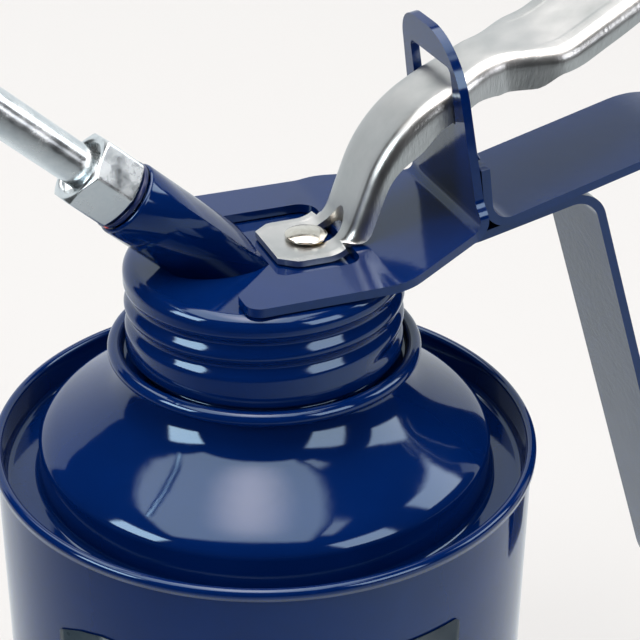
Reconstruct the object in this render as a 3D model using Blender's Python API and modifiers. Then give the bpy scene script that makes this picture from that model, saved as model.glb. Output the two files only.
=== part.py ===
"""Pump oil can: pressed can, screw cap with handle and spout, lever pump. Metres, +Z up.

The can's axis is Z and the can stands on z = 0. The spout leans towards -X, the handle towards +X.
"""

from math import atan2, cos, hypot, pi, radians, sin, tan

import bmesh
import bpy
from mathutils import Matrix, Vector

MM = 0.001
GAP = 0.3 * MM                  # clearance between neighbouring pieces
ROUND_STEPS = 48                # facets round the large turned pieces
GASKET_STEPS = 36
SMALL_STEPS = 18                # facets round the small turned pieces

# Can body
CAN_RADIUS = 44.4 * MM
CAN_WALL = 0.4 * MM
CAN_HEIGHT = 88.0 * MM          # standing plane to the middle of the rolled seam
CAN_CORNER = 2.5 * MM

# Pressed shoulder: heights are above the middle of the seam
SHEET = 0.3 * MM
SEAM_BEAD = 0.85 * MM
SEAM_SKIRT = 0.8 * MM
GUTTER_DEPTH = 5.4 * MM
GUTTER_CORNER = 1.3 * MM
DOME_RADIUS = 37.4 * MM
DOME_SECTION = ((22.2, 14.8), (22.8, 12.8), (25.0, 10.1), (28.8, 7.6), (33.5, 4.8), (36.4, 2.6),
                (37.4, 1.2))    # radius and rise, mm
COLLAR_RADIUS = 25.4 * MM
COLLAR_RISE = 17.3 * MM
COLLAR_BEAD = 1.2 * MM
COLLAR_VALLEY = 0.84 * MM       # the valley inside the collar, below the bead's middle
MOUTH_RADIUS = 20.6 * MM        # outside of the threaded neck

# Label on the wall
LABEL_SHEET = 0.15 * MM
LABEL_HEIGHT = 52.0 * MM
LABEL_DROP = 13.3 * MM          # seam to the label's top edge
LABEL_MIDDLE = radians(-112.5)
LABEL_FACETS = 12

# Screw cap: a rolled thread shows on its skirt
CAP_TOP_RISE = 33.1 * MM        # seam to the top of the cap
CAP_RADIUS = 22.4 * MM
CAP_HEIGHT = 15.1 * MM
CAP_WALL = 1.2 * MM
CAP_CROWN = 0.5 * MM
CAP_CORNER = 2.1 * MM
THREAD_PITCH = 3.95 * MM
THREAD_DEPTH = 0.6 * MM
THREAD_HALF_WIDTH = 0.95 * MM
THREAD_START = radians(-66.0)
THREAD_START_RISE = 3.1 * MM    # cap's lower edge to the start of the thread
THREAD_TURNS = 2.3
THREAD_RUN_OUT = 0.08           # of a turn at each end
GASKET = 1.4 * MM
GASKET_OVERHANG = 0.2 * MM
GASKET_WIDTH = 3.2 * MM

# Spout: boss, washer, nut and tube on one inclined axis
SPOUT_ANGLE = radians(42.0)
SPOUT_FOOT_X = -7.35 * MM       # where the axis meets the cap's top
BOSS_RADIUS = 6.0 * MM
BOSS_BORE = 3.6 * MM
BOSS_LENGTH = 19.9 * MM
BOSS_TRIM_X = -0.6 * MM
BOSS_TRIM_ANGLE = radians(55.0)
WASHER = 0.8 * MM
WASHER_INSET = 0.4 * MM
NUT_LENGTH = 7.5 * MM
NUT_CORNER_RADIUS = 6.3 * MM
NUT_TURN = radians(20.0)
NUT_RECESS = 1.0 * MM
NUT_RIM = 1.1 * MM
TUBE_RADIUS = 3.2 * MM
TUBE_BORE = 2.2 * MM
TUBE_LENGTH = 132.0 * MM
TUBE_TAPER = 16.0 * MM
TIP_RADIUS = 1.9 * MM
TIP_BORE = 1.0 * MM

# Bracket: one bent plate, a fork on the cap and an upright with the lever's window
PLATE = 1.45 * MM
FORK_HALF_WIDTH = 20.5 * MM
FORK_FRONT_X = -9.7 * MM
FORK_CORNER = 2.4 * MM
SLOT_HALF_WIDTH = 11.6 * MM
SLOT_END_X = 15.6 * MM
SLOT_CORNER = 3.0 * MM
ARM_BEVEL = 3.6 * MM
ARM_TIP_CORNER = 0.6 * MM
SLOT_LIP_CORNER = 0.4 * MM
RAMP_START_X = 13.5 * MM
RAMP_ANGLE = radians(8.0)
RAMP_BEND = 12.0 * MM
TAPER_START_X = 16.5 * MM
TAPER_START_CORNER = 8.0 * MM
TAPER_END_CORNER = 14.0 * MM
RAMP_FOOT_HALF_WIDTH = 12.9 * MM
UPRIGHT_X = 31.7 * MM           # front face where it meets the ramp
UPRIGHT_LEAN = radians(9.5)
UPRIGHT_HEIGHT = 30.6 * MM
UPRIGHT_STEP = 2.4 * MM         # up from the foot, where the plate gets narrower
UPRIGHT_STEP_BEVEL = 0.8 * MM
UPRIGHT_FOOT_HALF_WIDTH = 11.6 * MM
UPRIGHT_TOP_HALF_WIDTH = 9.7 * MM
UPRIGHT_CORNER = 5.0 * MM       # top corner on the +Y side
UPRIGHT_ROUND_CORNER = 10.5 * MM    # top corner on the -Y side
BEND_RADIUS = 1.6 * MM
WINDOW_HALF_WIDTH = 7.3 * MM
WINDOW_SILL = 18.55 * MM        # fork's top face to the window's lower edge
WINDOW_HEIGHT = 9.4 * MM
WINDOW_CORNER = 1.2 * MM
SILL_CORNER = 0.5 * MM

# Handle: one strip bent into a loop
STRIP = 1.5 * MM
STRIP_HALF_WIDTH = 11.0 * MM    # leg and top run
STRIP_LOW_HALF_WIDTH = 9.7 * MM # inner run, lower run and tongue
LEG_TOP = 9.1 * MM              # up the back of the upright from its foot
LEG_BEND = 3.8 * MM
TOP_RUN_ANGLE = radians(14.7)
TOP_RUN_RISE = 0.14 * MM        # top run above the lower run at the bracket
GRIP_X = 82.5 * MM              # corner of the top run and the back of the grip
GRIP_LEAN = radians(18.3)
GRIP_BEND = 17.0 * MM
GRIP_WIDTH = 30.4 * MM          # between the strip's two upright runs
GRIP_LENGTH = 109.0 * MM
LOWER_RUN_ANGLE = radians(12.6)
LOWER_BEND = 5.0 * MM
TONGUE = 7.5 * MM               # lower run's end under the ramp
TONGUE_DROP = 0.55 * MM         # more than the usual gap under the ramp
TONGUE_BEND = 10.0 * MM
WELD_RADIUS = 0.8 * MM
WELD_HALF_LENGTH = 9.3 * MM

# Lever: one pressed channel, from the foot under the rod's head to the thumb pad
LEVER_SHEET = 1.05 * MM
FOOT_REST = 0.4 * MM            # foot above the cap
FOOT_FRONT_X = 0.35 * MM
FOOT_FRONT_HALF_WIDTH = 5.1 * MM
FOOT_HALF_WIDTH = 7.3 * MM
FOOT_BEVEL = 2.8 * MM
LEVER_EDGE_RADIUS = 2.2 * MM
LEVER_SPACING = 4.0 * MM        # between the sections along its length
FOLD_LEAD = 0.6 * MM            # the flanges start to fold this much before the first knee
FOLD_RUN = 1.8 * MM
LEVER_KNEES = ((11.6, 0.0, 5.0), (18.15, 18.5, 23.0), (35.5, 28.0, 15.0), (46.8, 30.1, 10.0),
               (74.0, 46.1, 22.0))     # x, rise above the foot and bend radius, mm
PAD_END = (96.0, 48.1)
LEVER_HALF_WIDTHS = ((28.0, 6.7), (33.0, 6.1), (36.5, 6.2), (46.0, 9.9))    # x and half width, mm
LEVER_DEPTHS = ((14.6, 3.0), (20.5, 5.1), (25.0, 4.6), (30.5, 4.4), (35.0, 5.7), (41.0, 5.9),
                (45.5, 3.9), (52.0, 3.8), (71.0, 2.8))      # x and flange depth, mm
LEVER_SLOT_HALF_WIDTH = 2.75 * MM
LEVER_SLOT_FRONT_X = 4.6 * MM
LEVER_SLOT_BACK_X = 13.2 * MM
LEVER_PRESS = radians(8.0)

# Pump: barrel under the cap, rod up through the lever's foot
PUMP_X = 7.1 * MM
ROD_RADIUS = 1.6 * MM
HEAD_RADIUS = 3.4 * MM
HEAD_EDGE = 0.35 * MM
HEAD_DOME = 0.6 * MM
HEAD_LIFT = 0.4 * MM            # head above the lever's foot at rest
ROD_PER_RADIAN = 31.0 * MM      # rod travel for each radian of the lever
BUSH_RADIUS = 2.9 * MM
BUSH_FLANGE_RADIUS = 6.6 * MM
BUSH_FLANGE = 1.8 * MM
PACKING = 1.6 * MM
BARREL_BORE = 7.0 * MM
BARREL_WALL = 0.6 * MM
BARREL_LENGTH = 41.6 * MM
BARREL_FLANGE_RADIUS = 9.5 * MM
BARREL_FLANGE = 0.8 * MM
PISTON_CLEARANCE = 0.3 * MM
PISTON_INSET = 0.4 * MM         # disc inside its cup's edge
ROD_BELOW_CAP = 36.7 * MM       # cap's top to the rod's lower end
PISTON_NUT = 2.6 * MM
PISTON_NUT_RADIUS = 3.6 * MM
CUP = 2.6 * MM
CUP_SHEET = 0.8 * MM
PISTON = 2.0 * MM
SPRING_RADIUS = 4.9 * MM
SPRING_WIRE = 0.45 * MM
SPRING_TURNS = 6
SPRING_STEPS = 8                # for each turn
STOP_PLATE = 1.0 * MM
STOP_HOLE = 1.2 * MM
VALVE_BODY = 4.0 * MM
VALVE_CHAMBER = 2.6 * MM
VALVE_BORE = 1.1 * MM
VALVE_COLLAR = 3.6 * MM
VALVE_SPIGOT = 7.0 * MM
VALVE_SPIGOT_RADIUS = 1.9 * MM
BALL_RADIUS = 1.8 * MM
BALL_ROOM = 1.0 * MM            # above the ball in its chamber
SUCTION_BORE = 2.2 * MM
SUCTION_WALL = 0.6 * MM
SUCTION_CLEARANCE = 8.0 * MM    # strainer above the can's bottom
STRAINER_RADIUS = 5.0 * MM
STRAINER_HEIGHT = 5.0 * MM
STRAINER_SHEET = 0.5 * MM
DELIVERY_RADIUS = 2.4 * MM
DELIVERY_BORE = 1.5 * MM
DELIVERY_DROP = 7.6 * MM        # cap's top to the delivery tube's level run
DELIVERY_BEND = 3.2 * MM

# Heights that follow from the sizes above
CAP_TOP = CAN_HEIGHT + CAP_TOP_RISE
CAP_UNDERSIDE = CAP_TOP - CAP_CROWN
CAP_EDGE = CAP_TOP - CAP_HEIGHT
MOUTH_TOP = CAP_UNDERSIDE - 2 * GAP - GASKET
PLATE_BOTTOM = CAP_TOP + GAP
PLATE_TOP = PLATE_BOTTOM + PLATE
FOOT_TOP = CAP_TOP + FOOT_REST + LEVER_SHEET
SILL_Z = PLATE_TOP + WINDOW_SILL
BARREL_TOP = CAP_UNDERSIDE - GAP
BARREL_BOTTOM = BARREL_TOP - BARREL_LENGTH
BUSH_TOP = BARREL_TOP
BUSH_BOTTOM = BUSH_TOP - BUSH_FLANGE
PACKING_TOP = BUSH_BOTTOM - GAP
PACKING_BOTTOM = PACKING_TOP - PACKING
ROD_BOTTOM = CAP_TOP - ROD_BELOW_CAP
NUT_TOP = ROD_BOTTOM + PISTON_NUT
CUP_TOP = NUT_TOP + GAP + CUP
PISTON_TOP = CUP_TOP + GAP + PISTON
HEAD_BOTTOM = FOOT_TOP + HEAD_LIFT

parts = bpy.data.collections.new("oil_can")
cutters = bpy.data.collections.new("cutters")


# Shared shapes

def clear_scene():
    for item in list(bpy.data.objects):
        bpy.data.objects.remove(item, do_unlink=True)
    for group in (parts, cutters):
        bpy.context.scene.collection.children.link(group)


def paint(name, colour, roughness, metallic=0.0):
    material = bpy.data.materials.new(name)
    material.use_nodes = True
    shader = material.node_tree.nodes["Principled BSDF"]
    shader.inputs["Base Color"].default_value = (*colour, 1.0)
    shader.inputs["Roughness"].default_value = roughness
    shader.inputs["Metallic"].default_value = metallic
    return material


def place(name, mesh, material, group=parts):
    piece = bpy.data.objects.new(name, mesh)
    if material:
        mesh.materials.append(material)
    group.objects.link(piece)
    return piece


def make_cutter(name, mesh):
    piece = place(name, mesh, None, cutters)
    piece.hide_render = True
    piece.display_type = "WIRE"
    return piece


def boolean(piece, cutter, operation="DIFFERENCE"):
    cut = piece.modifiers.new(cutter.name, "BOOLEAN")
    cut.operation = operation
    cut.object = cutter
    cut.solver = "EXACT"


def arc(centre, radius, start, end, steps):
    """Points of an arc in a plane, angles in degrees."""
    turn = radians(end - start) / steps
    return [(centre[0] + radius * cos(radians(start) + turn * i),
             centre[1] + radius * sin(radians(start) + turn * i)) for i in range(steps + 1)]


def rounded(corners, radii, closed=False, step=radians(15.0)):
    """A line through the corners with each corner rounded to its own radius."""
    count = len(corners)
    points = []
    for i, (corner, radius) in enumerate(zip(corners, radii)):
        here = Vector(corner)
        if radius <= 0.0 or (not closed and i in (0, count - 1)):
            points.append(tuple(here))
            continue
        back = (Vector(corners[i - 1]) - here).normalized()
        ahead = (Vector(corners[(i + 1) % count]) - here).normalized()
        turn = pi - back.angle(ahead)
        reach = radius * tan(turn / 2)
        centre = here + (back + ahead).normalized() * hypot(radius, reach)
        first = here + back * reach - centre
        side = 1.0 if back.x * ahead.y - back.y * ahead.x < 0.0 else -1.0
        steps = max(2, round(turn / step))
        for k in range(steps + 1):
            angle = side * turn * k / steps
            points.append((centre.x + first.x * cos(angle) - first.y * sin(angle),
                           centre.y + first.x * sin(angle) + first.y * cos(angle)))
    return points


def chain_mesh(name, points, closed=False):
    mesh = bpy.data.meshes.new(name)
    edges = [(i, i + 1) for i in range(len(points) - 1)]
    if closed:
        edges.append((len(points) - 1, 0))
    mesh.from_pydata(points, edges, [])
    return mesh


def turned(name, profile, material, steps=ROUND_STEPS, closed=False, x=0.0):
    """A profile of (radius, height) points, outer side downwards, turned round Z."""
    mesh = chain_mesh(name, [(r, 0.0, z) for r, z in profile], closed)
    piece = place(name, mesh, material)
    piece.location.x = x
    screw = piece.modifiers.new("turn", "SCREW")
    screw.axis = "Z"
    screw.angle = 2 * pi
    screw.steps = steps
    screw.render_steps = steps
    screw.use_merge_vertices = True
    screw.merge_threshold = 0.00001
    screw.use_smooth_shade = True
    return piece


def ring(name, outer, inner, top, bottom, material, steps=SMALL_STEPS, x=0.0):
    profile = [(inner, top), (outer, top), (outer, bottom), (inner, bottom)]
    return turned(name, profile, material, steps, closed=True, x=x)


def flat_mesh(name, loops, thickness):
    """A flat outline with holes, as thick as asked, in the XY plane."""
    curve = bpy.data.curves.new(name, "CURVE")
    curve.dimensions = "2D"
    curve.fill_mode = "BOTH"
    curve.extrude = thickness / 2
    for loop in loops:
        spline = curve.splines.new("POLY")
        spline.points.add(len(loop) - 1)
        for point, (x, y) in zip(spline.points, loop):
            point.co = (x, y, 0.0, 1.0)
        spline.use_cyclic_u = True
    holder = bpy.data.objects.new(name, curve)
    bpy.context.scene.collection.objects.link(holder)
    mesh = weld_curve(holder)
    mesh.name = name
    return mesh


def weld_curve(holder):
    """The mesh of a curve object, its caps welded; the curve goes."""
    bpy.context.view_layer.update()
    seen = holder.evaluated_get(bpy.context.evaluated_depsgraph_get())
    mesh = bpy.data.meshes.new_from_object(seen)
    form = bmesh.new()
    form.from_mesh(mesh)
    bmesh.ops.remove_doubles(form, verts=form.verts, dist=0.000001)
    bmesh.ops.recalc_face_normals(form, faces=form.faces)
    form.to_mesh(mesh)
    form.free()
    bpy.data.objects.remove(holder, do_unlink=True)
    return mesh


def wire_curve(name, points, radius):
    curve = bpy.data.curves.new(name, "CURVE")
    curve.dimensions = "3D"
    curve.bevel_depth = radius
    curve.bevel_resolution = 2
    curve.use_fill_caps = True
    spline = curve.splines.new("POLY")
    spline.points.add(len(points) - 1)
    for point, place_at in zip(spline.points, points):
        point.co = (*place_at, 1.0)
    return curve


def wire_mesh(name, points, radius):
    holder = bpy.data.objects.new(name, wire_curve(name, points, radius))
    bpy.context.scene.collection.objects.link(holder)
    mesh = weld_curve(holder)
    mesh.name = name
    return mesh


def bent_strip(name, path, half_widths, thickness, material):
    """A flat strip that follows an XZ path, even about y = 0, with a half width for each point."""
    form = bmesh.new()
    row = [form.verts.new((x, -half, z)) for (x, z), half in zip(path, half_widths)]
    edges = [form.edges.new(pair) for pair in zip(row, row[1:])]
    for item in bmesh.ops.extrude_edge_only(form, edges=edges)["geom"]:
        if isinstance(item, bmesh.types.BMVert):
            item.co.y = -item.co.y
    mesh = bpy.data.meshes.new(name)
    form.to_mesh(mesh)
    form.free()
    piece = place(name, mesh, material)
    wall = piece.modifiers.new("sheet", "SOLIDIFY")
    wall.thickness = thickness
    wall.offset = 0.0
    wall.use_even_offset = True
    return piece


# Can body, shoulder and label

def make_can(material):
    wall_top = CAN_HEIGHT + SEAM_BEAD - SHEET - GAP
    inner = CAN_RADIUS - CAN_WALL
    middle = CAN_RADIUS - CAN_CORNER
    outside = [(CAN_RADIUS, wall_top)] + arc((middle, CAN_CORNER), CAN_CORNER, 0, -90, 3) + [(0.0, 0.0)]
    inside_arc = arc((middle, CAN_CORNER), CAN_CORNER - CAN_WALL, -90, 0, 2)
    inside = [(0.0, CAN_WALL)] + inside_arc + [(inner, wall_top)]
    return turned("can_body", inside + outside, material)


def shoulder_profile():
    """Outer face of the pressed shoulder, from the neck's mouth out to the seam's skirt."""
    seam = CAN_HEIGHT
    seam_radius = CAN_RADIUS - CAN_WALL / 2
    collar_z = seam + COLLAR_RISE
    collar_middle = COLLAR_RADIUS - COLLAR_BEAD
    inner_foot = collar_z - COLLAR_VALLEY
    mouth = [(MOUTH_RADIUS, MOUTH_TOP), (MOUTH_RADIUS, inner_foot)]
    valley = [(collar_middle - COLLAR_BEAD, inner_foot)]
    collar = arc((collar_middle, collar_z), COLLAR_BEAD, 180, -80, 4)
    dome = [(radius * MM, seam + rise * MM) for radius, rise in DOME_SECTION]
    gutter_wall = seam_radius - SEAM_BEAD
    floor = seam - GUTTER_DEPTH
    inner_bend = arc((DOME_RADIUS + GUTTER_CORNER, floor + GUTTER_CORNER), GUTTER_CORNER, 180, 270, 2)
    outer_bend = arc((gutter_wall - GUTTER_CORNER, floor + GUTTER_CORNER), GUTTER_CORNER, -90, 0, 2)
    bead = arc((seam_radius, seam), SEAM_BEAD, 180, 0, 4)
    skirt = [(seam_radius + SEAM_BEAD, seam - SEAM_SKIRT)]
    return mouth + valley + collar + dome + inner_bend + outer_bend + bead + skirt


def make_shoulder(material):
    piece = turned("shoulder", shoulder_profile(), material)
    wall = piece.modifiers.new("sheet", "SOLIDIFY")
    wall.thickness = SHEET
    wall.offset = -1.0
    wall.use_even_offset = True
    return piece


def make_label(material):
    """A bare sticker that follows the facets of the wall."""
    facet = 2 * pi / ROUND_STEPS
    first = round(LABEL_MIDDLE / facet) - LABEL_FACETS // 2
    radius = CAN_RADIUS + LABEL_SHEET / 2 + GAP / 2
    points = [(radius * cos(facet * k), radius * sin(facet * k))
              for k in range(first, first + LABEL_FACETS + 1)]
    form = bmesh.new()
    top = CAN_HEIGHT - LABEL_DROP
    row = [form.verts.new((x, y, top)) for x, y in points]
    edges = [form.edges.new(pair) for pair in zip(row, row[1:])]
    made = bmesh.ops.extrude_edge_only(form, edges=edges)["geom"]
    moved = [item for item in made if isinstance(item, bmesh.types.BMVert)]
    bmesh.ops.translate(form, verts=moved, vec=(0.0, 0.0, -LABEL_HEIGHT))
    mesh = bpy.data.meshes.new("label")
    form.to_mesh(mesh)
    form.free()
    piece = place("label", mesh, material)
    sheet = piece.modifiers.new("sheet", "SOLIDIFY")
    sheet.thickness = LABEL_SHEET
    sheet.offset = 0.0
    return piece


# Screw cap and gasket

def thread_groove(angle, height):
    """Depth of the rolled groove at one place on the skirt."""
    start = CAP_EDGE + THREAD_START_RISE
    depth = 0.0
    for turn in range(-1, int(THREAD_TURNS) + 2):
        along = (angle - THREAD_START) / (2 * pi) + turn
        if not 0.0 <= along <= THREAD_TURNS:
            continue
        offset = abs(height - start - THREAD_PITCH * along) / THREAD_HALF_WIDTH
        run_out = min(1.0, along / THREAD_RUN_OUT, (THREAD_TURNS - along) / THREAD_RUN_OUT)
        if offset < 1.0:
            depth = max(depth, THREAD_DEPTH * run_out * (0.5 + 0.5 * cos(pi * offset)))
    return depth


def make_cap(material):
    """The cap's section is spun round Z and the thread is pressed into its skirt."""
    rim = CAP_RADIUS - CAP_CORNER
    inner = CAP_RADIUS - CAP_WALL
    thread_top = CAP_TOP - CAP_CORNER
    rows = 18
    skirt = [(CAP_RADIUS, thread_top + (CAP_EDGE - thread_top) * k / rows) for k in range(1, rows + 1)]
    section = [(0.0, CAP_TOP), (rim, CAP_TOP)] + arc((rim, thread_top), CAP_CORNER, 90, 0, 4)[1:] + skirt
    section += [(inner, CAP_EDGE), (inner, CAP_UNDERSIDE), (0.0, CAP_UNDERSIDE)]
    form = bmesh.new()
    row = [form.verts.new((r, 0.0, z)) for r, z in section]
    edges = [form.edges.new(pair) for pair in zip(row, row[1:])]
    bmesh.ops.spin(form, geom=row + edges, axis=(0.0, 0.0, 1.0), cent=(0.0, 0.0, 0.0),
                   angle=2 * pi, steps=ROUND_STEPS, use_merge=True)
    bmesh.ops.remove_doubles(form, verts=form.verts, dist=0.00001)
    bmesh.ops.recalc_face_normals(form, faces=form.faces)
    for vert in form.verts:
        radius = hypot(vert.co.x, vert.co.y)
        if radius > CAP_RADIUS - GAP and CAP_EDGE + GAP < vert.co.z < thread_top:
            angle = atan2(vert.co.y, vert.co.x)
            pressed = (radius - thread_groove(angle, vert.co.z)) / radius
            vert.co.x *= pressed
            vert.co.y *= pressed
    mesh = bpy.data.meshes.new("cap")
    form.to_mesh(mesh)
    form.free()
    piece = place("cap", mesh, material)
    mesh.shade_smooth()
    mesh.set_sharp_from_angle(angle=radians(50.0))
    boolean(piece, drill("rod_hole", (PUMP_X, 0.0, CAP_TOP), BUSH_RADIUS + GAP, 6 * CAP_CROWN))
    boolean(piece, drill("delivery_hole", (SPOUT_FOOT_X, 0.0, CAP_TOP), DELIVERY_RADIUS, 6 * CAP_CROWN))
    return piece


def drill(name, centre, radius, length, turn=None, steps=SMALL_STEPS):
    """A cylindrical cutter about a point, along Z or turned."""
    form = bmesh.new()
    bmesh.ops.create_cone(form, cap_ends=True, segments=steps, radius1=radius, radius2=radius, depth=length)
    if turn:
        bmesh.ops.rotate(form, verts=form.verts, cent=(0.0, 0.0, 0.0), matrix=turn)
    bmesh.ops.translate(form, verts=form.verts, vec=centre)
    mesh = bpy.data.meshes.new(name)
    form.to_mesh(mesh)
    form.free()
    return make_cutter(name, mesh)


def make_gasket(material):
    outer = MOUTH_RADIUS + GASKET_OVERHANG
    top = CAP_UNDERSIDE - GAP
    return ring("cap_gasket", outer, outer - GASKET_WIDTH, top, top - GASKET, material, GASKET_STEPS)


# Spout

def lean_spout(piece, along):
    """Stand a piece that was made along Z on the spout's axis."""
    piece.rotation_euler.y = SPOUT_ANGLE - pi / 2
    piece.location = (SPOUT_FOOT_X - along * cos(SPOUT_ANGLE), 0.0, CAP_TOP + along * sin(SPOUT_ANGLE))


def make_boss(material):
    foot = -BOSS_RADIUS / tan(SPOUT_ANGLE) - GAP
    profile = [(BOSS_BORE, BOSS_LENGTH), (BOSS_RADIUS, BOSS_LENGTH), (BOSS_RADIUS, foot), (BOSS_BORE, foot)]
    piece = turned("spout_boss", profile, material, SMALL_STEPS, closed=True)
    lean_spout(piece, 0.0)
    reach = 4 * BOSS_RADIUS
    below = block("boss_seat", (-2 * reach, -reach, CAP_TOP - reach), (reach, reach, CAP_TOP + GAP))
    boolean(piece, below)
    trim = block("boss_trim", (0.0, -reach, -reach), (reach, reach, 2 * reach))
    trim.rotation_euler.y = BOSS_TRIM_ANGLE - pi / 2
    trim.location = (BOSS_TRIM_X, 0.0, CAP_TOP)
    boolean(piece, trim)
    return piece


def block(name, low, high):
    form = bmesh.new()
    bmesh.ops.create_cube(form, size=1.0)
    for vert in form.verts:
        for axis in range(3):
            vert.co[axis] = low[axis] if vert.co[axis] < 0.0 else high[axis]
    mesh = bpy.data.meshes.new(name)
    form.to_mesh(mesh)
    form.free()
    return make_cutter(name, mesh)


def make_washer(material):
    piece = ring("nut_washer", BOSS_RADIUS - WASHER_INSET, TUBE_RADIUS + GAP, WASHER, 0.0, material)
    lean_spout(piece, BOSS_LENGTH + GAP)
    return piece


def make_nut(material):
    """Hexagon with turned-down ends and a sunk face round the tube."""
    form = bmesh.new()
    bmesh.ops.create_cone(form, cap_ends=True, segments=6, radius1=NUT_CORNER_RADIUS,
                          radius2=NUT_CORNER_RADIUS, depth=NUT_LENGTH)
    turn = Matrix.Rotation(pi / 6 - NUT_TURN, 3, "Z")
    bmesh.ops.rotate(form, verts=form.verts, cent=(0.0, 0.0, 0.0), matrix=turn)
    bmesh.ops.translate(form, verts=form.verts, vec=(0.0, 0.0, NUT_LENGTH / 2))
    mesh = bpy.data.meshes.new("spout_nut")
    form.to_mesh(mesh)
    form.free()
    piece = place("spout_nut", mesh, material)
    start = BOSS_LENGTH + 2 * GAP + WASHER
    lean_spout(piece, start)
    flat = NUT_CORNER_RADIUS * cos(pi / 6)
    crown = NUT_CORNER_RADIUS - flat
    profile = [(flat, NUT_LENGTH + GAP), (flat, NUT_LENGTH), (NUT_CORNER_RADIUS + crown, NUT_LENGTH - crown),
               (NUT_CORNER_RADIUS + crown, crown), (flat, 0.0), (flat, -GAP)]
    chamfer = turned("nut_chamfer", [(0.0, NUT_LENGTH + GAP)] + profile + [(0.0, -GAP)], None, SMALL_STEPS)
    to_cutter(chamfer)
    lean_spout(chamfer, start)
    boolean(piece, chamfer, "INTERSECT")
    bore = drill("nut_bore", (0.0, 0.0, NUT_LENGTH / 2), TUBE_RADIUS + GAP, 2 * NUT_LENGTH)
    lean_spout(bore, start)
    boolean(piece, bore)
    sink = drill("nut_sink", (0.0, 0.0, NUT_LENGTH), flat - NUT_RIM, 2 * NUT_RECESS)
    lean_spout(sink, start)
    boolean(piece, sink)
    return piece


def to_cutter(piece):
    parts.objects.unlink(piece)
    cutters.objects.link(piece)
    piece.hide_render = True
    piece.display_type = "WIRE"


def make_tube(material):
    """Spout tube with its end drawn down; its root sits in the boss."""
    root = BOSS_LENGTH / 2
    top = root + TUBE_LENGTH
    profile = [(TIP_BORE, top), (TIP_RADIUS, top), (TUBE_RADIUS, top - TUBE_TAPER), (TUBE_RADIUS, root),
               (TUBE_BORE, root), (TUBE_BORE, top - TUBE_TAPER)]
    piece = turned("spout_tube", profile, material, SMALL_STEPS, closed=True)
    lean_spout(piece, 0.0)
    return piece


# Bracket

def upright_point(up, back=0.0):
    """A point on the upright, measured up from its foot and back from its front face."""
    foot_z = PLATE_TOP + (UPRIGHT_X - RAMP_START_X) * tan(RAMP_ANGLE)
    return (UPRIGHT_X - up * sin(UPRIGHT_LEAN) + back * cos(UPRIGHT_LEAN),
            foot_z + up * cos(UPRIGHT_LEAN) + back * sin(UPRIGHT_LEAN))


def make_bracket(material):
    half = PLATE / 2
    ramp_shift = half / cos(RAMP_ANGLE)
    corner_x = UPRIGHT_X + half / cos(UPRIGHT_LEAN)
    corner_z = PLATE_TOP - ramp_shift + (corner_x - RAMP_START_X) * tan(RAMP_ANGLE)
    top = upright_point(UPRIGHT_HEIGHT + 2 * PLATE, half)
    corners = [(FORK_FRONT_X - PLATE, PLATE_TOP - half), (RAMP_START_X, PLATE_TOP - half),
               (corner_x, corner_z), top]
    path = rounded(corners, (0.0, RAMP_BEND, BEND_RADIUS + half, 0.0))
    piece = bent_strip("bracket", path, [FORK_HALF_WIDTH + PLATE] * len(path), PLATE, material)
    boolean(piece, plan_cutter(), "INTERSECT")
    boolean(piece, front_cutter(), "INTERSECT")
    return piece


def plan_cutter():
    """The blank's outline from above: fork arms, their bevelled tips, the slot and the taper."""
    near = [(FORK_FRONT_X, SLOT_HALF_WIDTH + ARM_BEVEL), (FORK_FRONT_X, FORK_HALF_WIDTH),
            (TAPER_START_X, FORK_HALF_WIDTH), (UPRIGHT_X, RAMP_FOOT_HALF_WIDTH),
            (UPRIGHT_X + 6 * PLATE, RAMP_FOOT_HALF_WIDTH)]
    far = [(x, -y) for x, y in reversed(near)]
    slot = [(FORK_FRONT_X + ARM_BEVEL, -SLOT_HALF_WIDTH), (SLOT_END_X, -SLOT_HALF_WIDTH),
            (SLOT_END_X, SLOT_HALF_WIDTH), (FORK_FRONT_X + ARM_BEVEL, SLOT_HALF_WIDTH)]
    side = [ARM_TIP_CORNER, FORK_CORNER, TAPER_START_CORNER, TAPER_END_CORNER, 0.0]
    radii = side + list(reversed(side)) + [SLOT_LIP_CORNER, SLOT_CORNER, SLOT_CORNER, SLOT_LIP_CORNER]
    outline = rounded(near + far + slot, radii, closed=True)
    mesh = flat_mesh("bracket_plan", [outline], 4 * UPRIGHT_HEIGHT)
    piece = make_cutter("bracket_plan", mesh)
    piece.location.z = PLATE_TOP
    return piece


def front_cutter():
    """The outline from the front: full width below, the tapering upright with its window above."""
    foot_z = upright_point(0.0)[1]
    top_z = upright_point(UPRIGHT_HEIGHT)[1]
    low = PLATE_BOTTOM - 4 * PLATE
    step = foot_z + UPRIGHT_STEP
    wide = FORK_HALF_WIDTH + 2 * PLATE
    near = [(wide, low), (wide, step), (RAMP_FOOT_HALF_WIDTH + GAP, step),
            (UPRIGHT_FOOT_HALF_WIDTH, step + UPRIGHT_STEP_BEVEL), (UPRIGHT_TOP_HALF_WIDTH, top_z)]
    far = [(-y, z) for y, z in reversed(near)]
    radii = [0.0] * 4 + [UPRIGHT_CORNER, UPRIGHT_ROUND_CORNER] + [0.0] * 4
    outline = rounded(near + far, radii, closed=True)
    window = [(WINDOW_HALF_WIDTH, SILL_Z), (WINDOW_HALF_WIDTH, SILL_Z + WINDOW_HEIGHT),
              (-WINDOW_HALF_WIDTH, SILL_Z + WINDOW_HEIGHT), (-WINDOW_HALF_WIDTH, SILL_Z)]
    hole = rounded(window, (SILL_CORNER, WINDOW_CORNER, WINDOW_CORNER, SILL_CORNER), closed=True)
    mesh = flat_mesh("bracket_front", [outline, hole], 8 * FORK_HALF_WIDTH)
    piece = make_cutter("bracket_front", mesh)
    piece.rotation_euler = (pi / 2, 0.0, pi / 2)
    return piece


# Handle

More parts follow.
